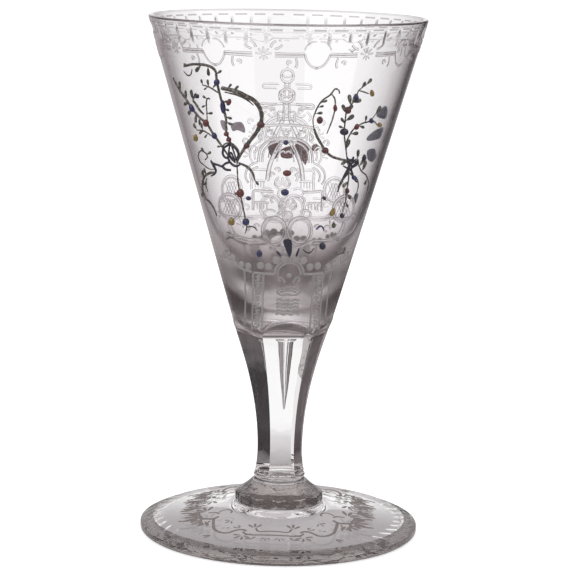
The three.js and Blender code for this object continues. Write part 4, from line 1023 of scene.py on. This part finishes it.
# BEADS
# Thick single drops of coloured enamel, set astride the twigs or straight on the glass with a loaded brush.
# Each is (name, colour, degrees, height, width, length, lean in degrees).
BEAD_RELIEF = 1.05
BEADS = [
    ("left_blue_tip_bead", "blue", -33, 82.1, 2, 2.1, 0),
    ("left_blue_long_bead", "blue", -31.6, 74.6, 1.7, 4.4, 8),
    ("left_red_upper_bead", "red", -32, 66.3, 1.7, 1.5, 0),
    ("left_red_lower_bead", "red", -31, 64.6, 1.7, 1.5, 0),
    ("left_red_berry", "red", -28, 76.2, 1.5, 2.2, -20),
    ("left_dark_red_upper_bead", "dark_red", -12.6, 69.8, 2.4, 2.2, 0),
    ("left_dark_red_lower_bead", "dark_red", -21, 63, 1.8, 2.1, -40),
    ("left_blue_outer_bead", "blue", -53, 73.2, 1.7, 3, 42),
    ("left_red_outer_bead", "red", -44.4, 69, 2.3, 2.4, 0),
    ("left_blue_inner_bead", "blue", -40, 65.3, 1.7, 2.2, 35),
    ("left_blue_small_bead", "blue", -46.5, 77.2, 1.1, 1.4, 0),
    ("left_yellow_bead", "yellow", -56, 63.8, 1.8, 2.4, 10),
    ("left_red_drop", "red", -28.4, 47.8, 2.6, 2.8, 0),
    ("left_blue_drop", "blue", -27, 38.7, 2.4, 2.3, 0),
    ("left_blue_side_bead", "blue", -23, 46.4, 1.8, 1.2, -15),
    ("left_yellow_drop", "yellow", -39, 38.2, 2.4, 2.5, 0),
    ("right_red_berry", "dark_red", 16.4, 71.5, 1.9, 2.3, -15),
    ("right_dark_red_bead", "dark_red", 21.4, 62, 2.2, 2, 0),
    ("right_red_inner_bead", "red", 23.4, 75.2, 1.2, 2.2, 0),
    ("right_blue_flower_cup", "dark_blue", 30.6, 67.7, 3, 2.2, 0),
    ("right_dark_red_flower", "dark_red", 30.4, 74.4, 2.2, 2.2, 0),
    ("right_blue_upper_bead", "blue", 33.6, 78.3, 1.8, 1.9, 0),
    ("right_yellow_tip_bead", "yellow", 42.6, 79.4, 1.4, 2.2, 10),
    ("right_red_side_bead", "red", 37.6, 69.1, 1.4, 2.1, -40),
    ("right_blue_side_bead", "blue", 46.8, 70.7, 1.6, 1.7, 0),
    ("right_yellow_side_bead", "yellow", 54.6, 69.1, 1.8, 1.5, 0),
    ("right_blue_low_bead", "dark_blue", 48.6, 59, 1.4, 2.2, -20),
    ("right_dark_red_tail_bead", "dark_red", 41, 48.8, 1.3, 2, -10),
    ("right_blue_tail_bead", "blue", 44.6, 52.8, 2.2, 1.5, -15),
    ("right_olive_drop", "yellow", 33, 42.2, 1.6, 2.9, -30),
    ("right_dark_blue_drop", "dark_blue", 41.6, 40.8, 1.6, 1.7, 0),
    ("right_green_drop", "green", 36, 37.9, 1.2, 1.9, -12),
    ("centre_blue_top_bead", "blue", 0, 64.5, 1.6, 1.5, 0),
    ("centre_red_bead", "red", 1, 54.9, 2.6, 1.9, 0),
    ("centre_blue_bead", "blue", 0, 48.8, 2.5, 2.1, 0),
    ("centre_blue_low_left_bead", "blue", -19, 28.7, 1.8, 2.5, 8),
    ("centre_blue_low_right_bead", "dark_blue", 30, 31.3, 2.2, 2.5, 0),
    ("centre_blue_small_bead", "dark_blue", 25, 46.9, 1.2, 1.2, 0),
]
for name, colour, turn, height, width, length, lean in BEADS:
    drop = (*flat_place(turn, height), width, length, math.radians(lean), BEAD_RELIEF, False)
    enamel_piece(name, colour, drops=[drop])

# PAINTED LINES AND PATCHES
# Short dashes and curves in the middle of the front, and thin washes of colour: the drapes below the canopy
# and the patches that fill the engraved ornament at the back.
DASHES = [
    ("centre_blue_left_dash", "dark_blue", 0.9, [(-5.4, 29.8), (-3.8, 29), (-2.2, 28.2)]),
    ("centre_blue_right_dash", "dark_blue", 0.9, [(9.6, 28), (10.6, 29.4), (11.6, 30.8)]),
    ("centre_blue_low_curve", "dark_blue", 0.6, [(14.6, 30.4), (18, 29.4), (21, 29.4), (23.4, 30.8)]),
    ("centre_blue_side_curve", "blue", 0.8, [(22.6, 36.8), (25, 37.8), (27, 37.6), (29, 36.4)]),
]
for name, colour, width, places in DASHES:
    enamel_piece(name, colour, strokes=[brushed(width, places)])

PATCHES = [
    ("centre_blue_long_drop", "dark_blue",
        [(-0.4, 33.4), (5, 33.6), (6.2, 30.4), (5.2, 28.4), (3.8, 28.2), (1.4, 30.6)]),
    ("back_red_left_drape", "drape_red",
        [(190.6, 57.4), (184, 58), (184.4, 54.8), (186.4, 52.4), (189, 52.8), (191, 55)]),
    ("back_red_middle_drape", "drape_red",
        [(182.6, 55.4), (178, 56.4), (174.4, 55.6), (176, 52.8), (181.6, 52.6), (183.4, 53.6)]),
    ("back_red_right_drape", "drape_red",
        [(174, 57.8), (168, 58), (165.4, 55.6), (166.6, 50.8), (169.4, 52), (173, 53.2)]),
    ("back_pink_bow", "drape_red", [(163.4, 57), (160.6, 57.4), (158.6, 56.4), (160.4, 55.2), (163.2, 55.4)]),
    ("back_blue_top_patch", "pale_blue",
        [(118.5, 68), (118, 70), (111, 71.5), (106, 70), (105.5, 68), (111, 67.5)]),
    ("back_blue_upper_patch", "pale_blue",
        [(122.5, 61), (116, 63.5), (105, 65), (104, 63), (106, 61.5), (120, 60)]),
    ("back_blue_lower_patch", "pale_blue",
        [(118, 57), (110, 58), (104, 57), (101, 56), (106, 54), (115, 54.5)]),
    ("back_blue_low_patch", "pale_blue", [(118.6, 43.2), (113.6, 43), (113.8, 40), (118.4, 40.2)]),
    ("back_mauve_left_patch", "mauve", [(221.4, 64.8), (218, 64.4), (217.2, 61.8), (220.4, 62)]),
    ("back_mauve_right_patch", "mauve", [(214, 63.6), (207, 64), (205.4, 60.8), (210, 61.6), (213.6, 61.4)]),
]
for name, colour, outline in PATCHES:
    enamel_piece(name, colour, patches=[[flat_place(*place) for place in outline]])

# ENGRAVING ON THE BOWL
# Shallow ornament ground into the glass with small copper wheels and left mat, with a few polished pearls.
# Each motif is drawn as one half, in millimetres from its middle and above the stem, and mirrored.
LINE = 0.75
HAIRLINE = 0.45
BROAD_LINE = 0.95
CUT_DEPTH = 0.12
FRIEZE_REPEATS = 8
FRIEZE_TURN = -10
# Painted shade: the mat lines darken where seen edge-on.
engraved_glass = glass_finish("engraved_glass", [
    (0.1, (0.97, 0.955, 0.96)), (0.5, (0.72, 0.69, 0.7)), (0.9, (0.4, 0.36, 0.37)),
], 0.1, 300, 0.5)
ground_glass, _, ground_shader = new_finish("ground_glass", 0.28)
ground_shader.inputs["Transmission Weight"].default_value = 0.55
ground_shader.inputs["Base Color"].default_value = (0.62, 0.585, 0.58, 1)


def both_sides(strokes):
    """Each stroke and its mirror image."""
    return [
        ([(side * x, y) for x, y in places], width, closed)
        for places, width, closed in strokes for side in (1, -1)
    ]


def line(*places, width=LINE):
    """An open stroke through places."""
    return list(places), width, False


def oval(x, y, half_width, half_height, width=LINE, corners=12):
    """A closed stroke round a middle."""
    turns = np.linspace(0, 2 * math.pi, corners, endpoint=False)
    return [(x + half_width * math.cos(t), y + half_height * math.sin(t)) for t in turns], width, True


def arc(x, y, radius, start, end, width=LINE, steps=8):
    """Part of a circle, between two turns in degrees from the right."""
    turns = np.radians(np.linspace(start, end, steps))
    return [(x + radius * math.cos(t), y + radius * math.sin(t)) for t in turns], width, False


def curl(x, y, size, width=LINE, side=1):
    """A small scroll that winds in on itself."""
    turns = np.linspace(0, 1.6 * math.pi, 8)
    reaches = size * (1 - 0.12 * turns)
    places = [(x + side * reach * math.cos(t), y + reach * math.sin(t)) for reach, t in zip(reaches, turns)]
    return places, width, False


def leaf_fan(x, y, reach, count, spread, lean=90.0):
    """Leaves that spread from one root, as drops for the relief."""
    leaves = []
    for turn in np.radians(lean + np.linspace(-spread, spread, count)):
        middle = (x + 0.6 * reach * math.cos(turn), y + 0.6 * reach * math.sin(turn))
        leaves.append((*middle, 0.34 * reach, 0.85 * reach, turn - math.pi / 2, CUT_DEPTH, True))
    return leaves


# The frieze below the rim: a double line that dips in a bow between two small palmettes, eight times round.
frieze_lines = both_sides([
    line((3.4, 91.7), (8, 91.6), (12.3, 91.7)),
    line((3.4, 90.8), (8, 90.9), (12.3, 91)),
    line((3.4, 92.9), (4.6, 93.3), (5.8, 94.2)),
    line((2.2, 93.4), (2.8, 94.6), (3.9, 95.4)),
    curl(7.4, 88.8, 0.8),
    line((9.6, 90.4), (9.9, 88.6), (9.4, 87.4)),
    line((12.3, 91.6), (12.8, 89.8), (14.1, 88), (16.16, 87.3)),
    line((12.3, 92.8), (13.2, 94.2), (14.6, 95.2), (16.16, 95.4), width=HAIRLINE),
])
frieze_drops = [*leaf_fan(0, 91.2, 2.4, 5, 78), *leaf_fan(0, 91.4, 1.8, 3, 40, 270)]
for repeat in range(FRIEZE_REPEATS):
    relief_piece(f"engraved_frieze_{repeat + 1}", on_bowl, "clear_glass", engraved_glass, frieze_lines,
                 frieze_drops, relief=0.35, uneven=0.2, spacing=0.5,
                 turn=360 / FRIEZE_REPEATS * repeat + FRIEZE_TURN)

# The canopy: a ball on a stand over a lobed arch with leaves, and bands that hang from it.
canopy_lines = both_sides([
    arc(0, 78.9, 2.1, -90, 90, BROAD_LINE),
    line((0, 78.5), (1, 78.7), (2, 79.3)),
    line((0.75, 76.8), (0.8, 74), (0.85, 71.4)),
    line((0.8, 73.9), (2.4, 73.9), (2.45, 72.4), (2.5, 71)),
    line((2.8, 76.3), (5.4, 76.3), (7.9, 76.2), (8, 75.1), (5.6, 75), (3.5, 75)),
    line((0, 69.9), (2.4, 69.9), (5.4, 69.6), (8.3, 69.1), width=BROAD_LINE),
    line((0, 65.9), (2.7, 65.7), (5.8, 64.5), (7.8, 61.9), (8.3, 58.1), width=BROAD_LINE),
    line((0, 64.9), (2.4, 64.7), (4.9, 63.7), (6.7, 61.5), (7.1, 58.1)),
    line((1.2, 64.9), (3.4, 60.8), (4.8, 57), (5.4, 52.6), width=1.5),
    line((0, 66.6), (0.6, 66.9), (1, 67.6)),
    line((3.2, 67.1), (4.1, 66), (5.4, 65.9), (6.3, 66.7)),
    line((6.8, 67.5), (8, 66.6), (8.2, 65.4), (7.4, 64.8)),
    curl(4.6, 67.4, 0.9),
    curl(9.8, 61.8, 1.5),
    curl(12.6, 64.2, 1.1, side=-1),
    line((8.6, 58), (10.4, 57.2), (12, 55.4), (12.4, 53), (11.4, 51.2)),
    line((8.4, 56.6), (10, 55.6), (10.8, 53.8), (10.4, 52)),
    line((1.4, 62.4), (2.2, 60.6), (2.6, 58.4), width=HAIRLINE),
    line((0, 61.2), (0.8, 61.8), (1.7, 61.2)),
    curl(2.2, 55.8, 0.9),
    curl(4.2, 54.2, 0.9, side=-1),
])
canopy_drops = [
    *leaf_fan(0, 67.2, 1.7, 3, 50), *leaf_fan(5, 67.6, 1.5, 3, 50), *leaf_fan(-5, 67.6, 1.5, 3, 50),
    *leaf_fan(11, 60, 2.2, 3, 45, 30), *leaf_fan(-11, 60, 2.2, 3, 45, 150),
    (0, 81.8, 0.7, 0.7, 0, CUT_DEPTH, False),
]

# Strapwork below: two loops knotted in the middle, bands that swing out aside and trellised medallions.
knot_lines = both_sides([
    oval(4, 36.4, 3.7, 4.4, BROAD_LINE),
    oval(4, 36.4, 2.9, 3.5, HAIRLINE),
    line((0, 31), (2.8, 31.1), (5.4, 31.9), (8.3, 33.3), (12.6, 33.2), (16.4, 34), (18.3, 36), (19.3, 38.6),
         width=BROAD_LINE),
    line((8.6, 32.4), (12.6, 32.2), (16.8, 33), (19.2, 35.2), (20.3, 38.2)),
    line((15.6, 33.4), (20, 33.8), (24.2, 34.8), (26.9, 37.3)),
    line((10.7, 40.1), (15.4, 40), (22, 39.9)),
    line((3.7, 42.5), (5.4, 43.1), (7.1, 42.2), (6.5, 40.6), (4.1, 40.3)),
    oval(19.3, 42.9, 4.6, 4.3, BROAD_LINE),
    oval(19.3, 42.9, 3.9, 3.6, HAIRLINE),
    *[line((x - 2, 40.5), (x + 0.6, 45.5), width=0.4) for x in (17.7, 18.9, 20.1, 21.3)],
    *[line((x + 1.4, 40.5), (x - 1.2, 45.5), width=0.4) for x in (17.3, 18.5, 19.7, 20.9)],
    line((4.5, 48.9), (7.6, 48.9), (10.6, 48.8), (10.8, 45.8), (10.8, 42.7), width=BROAD_LINE),
    *[line((6.4 + i, 45), (6.4 + i, 43.2), width=0.4) for i in (0, 1, 2, 3)],
    line((5.8, 45.2), (8, 45.4), (10.2, 45.2)),
    curl(12.8, 36.6, 1.5),
    curl(9.6, 37.4, 1, side=-1),
    curl(24.2, 39.8, 1.3),
    line((4.2, 47.4), (5.2, 46.4), (4.6, 45.2)),
    line((1.2, 46.6), (2.4, 45.2), (2.2, 43.6), (1, 43)),
    arc(0, 41.2, 1.4, -90, 90),
])
knot_drops = [
    (0, 39.1, 1.3, 1.3, 0, CUT_DEPTH, False), *leaf_fan(0, 43.4, 3, 5, 70),
    *leaf_fan(14.4, 37.2, 2.4, 3, 45, 60), *leaf_fan(-14.4, 37.2, 2.4, 3, 45, 120),
    *leaf_fan(0, 33.2, 2.2, 3, 45),
]

# The lowest field: a round-headed panel between two columns of scrolls, under a chain of polished pearls.
scroll_rows = np.linspace(20.4, 4.6, 8)
panel_rows = np.linspace(14, 9.4, 5)
field_lines = both_sides([
    arc(0, 22.4, 4.5, 0, 90, BROAD_LINE),
    arc(0, 22.4, 3.6, -10, 90, 0.7),
    line((4.4, 22.3), (6.8, 22.2), (11.4, 22.2), width=BROAD_LINE),
    line((12, 22.4), (16.3, 23.3), (21.4, 25.8), (26.8, 25.8), width=BROAD_LINE),
    line((8, 22.2), (8, 14), (7.8, 3.2), width=0.8),
    line((11.5, 22.1), (11.4, 13), (11.6, 2.9), width=0.8),
    line((14.7, 22.9), (14.2, 13), (14.7, 4.4), width=0.8),
    *[line((8.9, y + 0.8), (10.5, y + 0.6), (9.2, y - 0.3), (10.8, y - 0.8)) for y in scroll_rows],
    line((1.2, 19.4), (1.9, 20.7), (2.8, 21.3), (3.4, 20.6), (2.6, 19.8)),
    line((0, 18.1), (1.9, 17.7), (3.7, 16.4), (2, 15.4), (0, 15.7)),
    line((0, 16.9), (1.4, 16.8), (2.6, 16.3)),
    *[line((0, y), (1.2, y - 0.6), (2.4, y), (3.6, y - 0.6), width=0.8) for y in panel_rows],
])
PEARL_CHAIN = [
    (1.7, 27.2, 2.6), (4.2, 26.8, 2.6), (6.5, 24.6, 2.5), (9.1, 24.8, 2.5), (13.3, 24.2, 2.4),
    (15.8, 24.5, 2.3), (19.3, 26.3, 2.1), (21.4, 27.4, 2), (23.6, 27.4, 2),
]
pearls = [(side * x, y, size, size, 0, 0.42, False) for x, y, size in PEARL_CHAIN for side in (1, -1)]
pearls.append((0, 21.9, 1.6, 1.6, 0, 0.4, False))

# The same ornament fills the front and the back.
cuts = dict(relief=0.35, uneven=0.25, spacing=0.5)
for side, turn in (("front", 0), ("back", 180)):
    relief_piece("engraved_canopy_" + side, on_bowl, "clear_glass", engraved_glass, canopy_lines,
                 canopy_drops, turn=turn, **cuts)
    relief_piece("engraved_strapwork_" + side, on_bowl, "clear_glass", engraved_glass, knot_lines, knot_drops,
                 turn=turn + 2, **cuts)
    relief_piece("engraved_columns_" + side, on_bowl, "clear_glass", ground_glass, field_lines,
                 turn=turn + 5, **cuts)
    relief_piece("polished_pearls_" + side, on_bowl, "clear_glass", ground_glass, drops=pearls, turn=turn + 5)

# A cut line follows the round arch over every facet.
ARCH_GAP = 0.9
ARCH_LINE_STEP = 6
# Painted shade: the cut line darkens where seen edge-on.
polished_cut = glass_finish("polished_cut", [
    (0.1, (0.97, 0.95, 0.96)), (0.9, (0.4, 0.36, 0.37)),
], 0.03, 45, 0.03)
arch_line = []
for turn, top in zip(joint_turns[::ARCH_LINE_STEP], arch_tops[::ARCH_LINE_STEP]):
    above_joint = top + ARCH_GAP - JOINT
    arch_line.append((turn * float(cone_radius(above_joint)), above_joint))
relief_piece("engraved_arches", on_bowl, "clear_glass", polished_cut, [line(*arch_line, width=0.7)],
             relief=0.4, uneven=0, spacing=0.5)

# ENGRAVING ON THE FOOT
# A lobed panel at the front and back, joined by scrolls to sheaves of leaves at the sides. It is drawn as
# seen from above, in millimetres to the right and forwards.
foot_engraving, _, mat_shader = new_finish("foot_engraving", 0.55)
mat_shader.inputs["Base Color"].default_value = (0.24, 0.205, 0.195, 1)
foot_lines = both_sides([
    line((19.6, 17.2), (19.5, 19.6), (18.9, 24.2), (17.7, 26.6), (16, 28.1), (14.1, 28.3), (12.5, 27.2),
         (11.2, 26.4), (9.7, 26.4), (8.5, 27.4), width=1.1),
    line((9.4, 28), (8.6, 29.4), (6.4, 30.2), (3.4, 30.2), (0, 30.2), width=0.9),
    line((0, 27.6), (2, 27.6), (4.6, 27.8), (5.6, 25.6), width=0.8),
    line((26.4, 12.4), (24.6, 14.4), (22.5, 15.8), (20.1, 16.6), (18.2, 15.4), width=1.3),
    line((30.6, 8), (28.8, 8.6), (26.5, 10.1), (24.9, 11.8), (23.8, 14), width=1.1),
    line((31, 15.4), (28.6, 16.2), (26.3, 15.6), (24.6, 13.8), width=1),
    line((21.8, 11), (19.6, 11.4), (18.2, 12.8), width=0.9),
    line((23.6, 15.6), (23.8, 18.4), (22.6, 20.8), width=1.2),
    line((20.8, 18.2), (21.6, 20.2), (21.2, 22), width=0.8),
    *[line((24.4 - 0.2 * i, 7.6 - 2.5 * i), (27.6 - 0.2 * i, 7.4 - 2.3 * i), (31.4 - 0.5 * i, 5.4 - 1.9 * i),
           width=0.4) for i in range(6)],
    arc(16.4, 12.6, 2.2, 150, 330, 0.7),
    curl(11.4, 24, 1.2, 0.6),
    line((5.4, 31.6), (6.8, 33), (8.4, 32.6), width=0.7),
])
# Each is (right, forwards, reach, leaves, spread, lean).
FOOT_FANS = [
    (24.4, 13.6, 5, 5, 70, -8),
    (22.6, 17.4, 4.4, 4, 60, 50),
    (22.6, 9.8, 4.6, 4, 50, -60),
    (26, 6, 5.4, 4, 40, -44),
    (9.6, 30.6, 3, 5, 110, 90),
    (13.9, 19.4, 2.2, 3, 60, 40),
    (6, 25.6, 3.2, 3, 40, -90),
    (19, 29.4, 3, 2, 16, 20),
    (15.2, 24.6, 1.2, 2, 90, 90),
    (2.2, 32.2, 1.8, 3, 60, 90),
]
foot_drops = []
for side in (1, -1):
    middle = 90 - 90 * side
    for x, y, reach, count, spread, lean in FOOT_FANS:
        foot_drops.extend(leaf_fan(side * x, y, reach, count, spread, middle + side * lean))
for side, turn in (("front", 0), ("back", 180)):
    relief_piece("engraved_foot_" + side, on_foot, "clear_glass", foot_engraving, foot_lines, foot_drops,
                 relief=0.25, uneven=0.3, spacing=0.6, turn=turn + 3)

# STAGE
# A pale floor that runs on as the backdrop, in soft light. Above the backdrop the room is darker, and glass
# shows that where it bends or turns back the view.
FLOOR_REACH = 40
FLOOR_DROP = 0.2 * MM
NEAR_TONE, FAR_TONE = 0.035, 0.085


def light_share(tree, *kinds):
    """1 for the kinds of ray named."""
    path = step(tree, "ShaderNodeLightPath").outputs
    total = path[kinds[0]]
    for kind in kinds[1:]:
        total = sums(tree, "MAXIMUM", total, path[kind])
    return total


floor_mesh = bpy.data.meshes.new("floor")
around_floor = [(-1, -1), (1, -1), (1, 1), (-1, 1)]
floor_corners = [(x * FLOOR_REACH, y * FLOOR_REACH, -FLOOR_DROP) for x, y in around_floor]
floor_mesh.from_pydata(floor_corners, [], [(0, 1, 2, 3)])
floor = placed("floor", floor_mesh)
paper, paper_tree, paper_shader = new_finish("white_paper", 1)
paper_shader.inputs["Specular IOR Level"].default_value = 0
paper_shader.inputs["Base Color"].default_value = (0.85, 0.85, 0.85, 1)


def turned_back(tree):
    """1 where a ray was turned back by a surface on its way, which leads it to the room's darker sides."""
    turns = step(tree, "ShaderNodeLightPath").outputs["Glossy Depth"]
    return step(tree, "ShaderNodeClamp", {"Value": turns}).outputs[0]


# A white screen stands behind the glass between dark sides, which glass shows where it bends the view aside.
room_sides, sides_in, sides_out = shader_group(
    "room_sides", [("Heading", "NodeSocketVector", (0, 1, 0))], [("Colour", "NodeSocketColor")]
)
level_part = {0: sides_in.outputs["Heading"], 1: (1, 1, 0)}
flat_heading = step(room_sides, "ShaderNodeVectorMath", level_part, operation="MULTIPLY").outputs[0]
flat_heading = step(room_sides, "ShaderNodeVectorMath", {0: flat_heading}, operation="NORMALIZE").outputs[0]
aside, ahead, _ = step(room_sides, "ShaderNodeSeparateXYZ", {0: flat_heading}).outputs
off_line = sums(room_sides, "ABSOLUTE", aside)
to_right = ranged(room_sides, aside, -0.05, 0.05)
behind = ranged(room_sides, ahead, -0.3, 0.1)
dark_left = toned(room_sides, off_line, [
    (0.08, (1.0, 1.0, 1.0)), (0.18, (0.85, 0.84, 0.85)), (0.28, (0.66, 0.64, 0.65)), (0.5, (0.5, 0.47, 0.48)),
    (0.62, (0.2, 0.175, 0.18)), (0.85, (0.16, 0.14, 0.14)), (1.0, (0.45, 0.43, 0.43)),
])
dark_right = toned(room_sides, off_line, [
    (0.08, (1.0, 1.0, 1.0)), (0.18, (0.85, 0.84, 0.85)), (0.26, (0.5, 0.48, 0.49)), (0.33, (0.1, 0.09, 0.09)),
    (0.48, (0.025, 0.02, 0.024)), (0.85, (0.03, 0.024, 0.027)), (1.0, (0.4, 0.38, 0.38)),
])
both_sides_seen = mixed(room_sides, to_right, dark_left, dark_right)
seen = mixed(room_sides, behind, (0.85, 0.84, 0.85), both_sides_seen)
link_up(room_sides, (seen, sides_out.inputs["Colour"]))


def sides_seen(tree, heading):
    """The room's tone in a direction."""
    return step(tree, "ShaderNodeGroup", {0: heading}, node_tree=room_sides).outputs[0]


# Glass that looks down on the floor sees a painted shadow on it, darkest round the foot and gone far off,
# where the floor takes the room's tone in each direction.
paper_place = step(paper_tree, "ShaderNodeTexCoord").outputs["Object"]
paper_away = step(paper_tree, "ShaderNodeVectorMath", {0: paper_place}, operation="LENGTH").outputs["Value"]
painted_floor_shadow = toned(paper_tree, paper_away, [
    (0.016, (0.46, 0.44, 0.445)), (0.026, (0.4, 0.38, 0.385)), (0.033, (0.3, 0.28, 0.285)),
    (0.05, (0.36, 0.34, 0.345)), (0.1, (0.62, 0.59, 0.6)), (0.168, (0.78, 0.76, 0.77)),
    (0.226, (0.95, 0.94, 0.95)), (0.3, (1.0, 1.0, 1.0)),
])
far_off = ranged(paper_tree, paper_away, NEAR_TONE, FAR_TONE)
paper_sides = mixed(paper_tree, far_off, (1.0, 1.0, 1.0), sides_seen(paper_tree, paper_place))
# Painted shade: glass that turns the view back sees the floor an even grey.
seen_tone = mixed(paper_tree, turned_back(paper_tree), painted_floor_shadow, (0.7, 0.67, 0.67))
paper_glow = step(paper_tree, "ShaderNodeEmission", {"Color": multiplied(paper_tree, seen_tone, paper_sides)})
paper_mix = step(paper_tree, "ShaderNodeMixShader", {
    0: light_share(paper_tree, "Is Glossy Ray", "Is Transmission Ray"),
    1: paper_shader.outputs[0],
    2: paper_glow.outputs[0],
})
paper_shader.inputs["Emission Strength"].default_value = 1
lit_paper = mixed(paper_tree, light_share(paper_tree, "Is Camera Ray"), (0, 0, 0), (0.62, 0.62, 0.62))
link_up(
    paper_tree,
    (lit_paper, paper_shader.inputs["Emission Color"]),
    (paper_mix.outputs[0], paper_tree.nodes["Material Output"].inputs["Surface"]),
)
floor_mesh.materials.append(paper)

world = bpy.data.worlds.new("studio")
bpy.context.scene.world = world
world.use_nodes = True
air = world.node_tree
sky = air.nodes["Background"]
direction = step(air, "ShaderNodeTexCoord").outputs["Generated"]
upwards = step(air, "ShaderNodeSeparateXYZ", {0: direction}).outputs["Z"]
rise = toned(air, upwards, [
    (0.08, (1.0, 1.0, 1.0)), (0.16, (0.8, 0.79, 0.8)), (0.27, (0.2, 0.18, 0.18)), (0.42, (0.24, 0.22, 0.22)),
    (0.56, (0.9, 0.9, 0.91)),
])
screen = mixed(air, ranged(air, upwards, 0.1, 0.35), sides_seen(air, direction), (0.62, 0.59, 0.595))
looked_through = mixed(air, turned_back(air), multiplied(air, rise, screen), screen)
through_glass = light_share(air, "Is Glossy Ray", "Is Transmission Ray")
plain = mixed(air, through_glass, (0.55, 0.55, 0.56), looked_through)
link_up(air, (mixed(air, light_share(air, "Is Camera Ray"), plain, (1, 1, 1)), sky.inputs["Color"]))
sky.inputs["Strength"].default_value = 1


def soft_lamp(name, place, size, power):
    """A wide lamp turned towards the foot."""
    lamp = bpy.data.lights.new(name, "AREA")
    lamp.shape = "RECTANGLE"
    lamp.size, lamp.size_y = size
    lamp.energy = power
    holder = placed(name, lamp)
    holder.location = place
    holder.rotation_euler = (foot.location - holder.location).to_track_quat("-Z", "Y").to_euler()


soft_lamp("key_light", (-0.9, -0.8, 1.1), (1.5, 1.6), 8)
soft_lamp("fill_light", (1.1, -0.5, 0.9), (1.4, 1.6), 5)

# The camera looks a little down on the glass, and was held a little askew.
CAMERA_PLACE = (0.00061, -0.71616, 0.20323)
CAMERA_DOWN = math.radians(9.78)
CAMERA_ASKEW = 0.0205
CAMERA_LENS = 144.09
lens = bpy.data.cameras.new("camera")
lens.lens = CAMERA_LENS
lens.sensor_width = 36
lens.clip_start = 0.01
camera = placed("camera", lens)
camera.matrix_world = (
    Matrix.Translation(CAMERA_PLACE)
    @ Matrix.Rotation(math.pi / 2 - CAMERA_DOWN, 4, "X")
    @ Matrix.Rotation(CAMERA_ASKEW, 4, "Z")
)
bpy.context.scene.camera = camera
bpy.context.scene.view_settings.view_transform = "Standard"
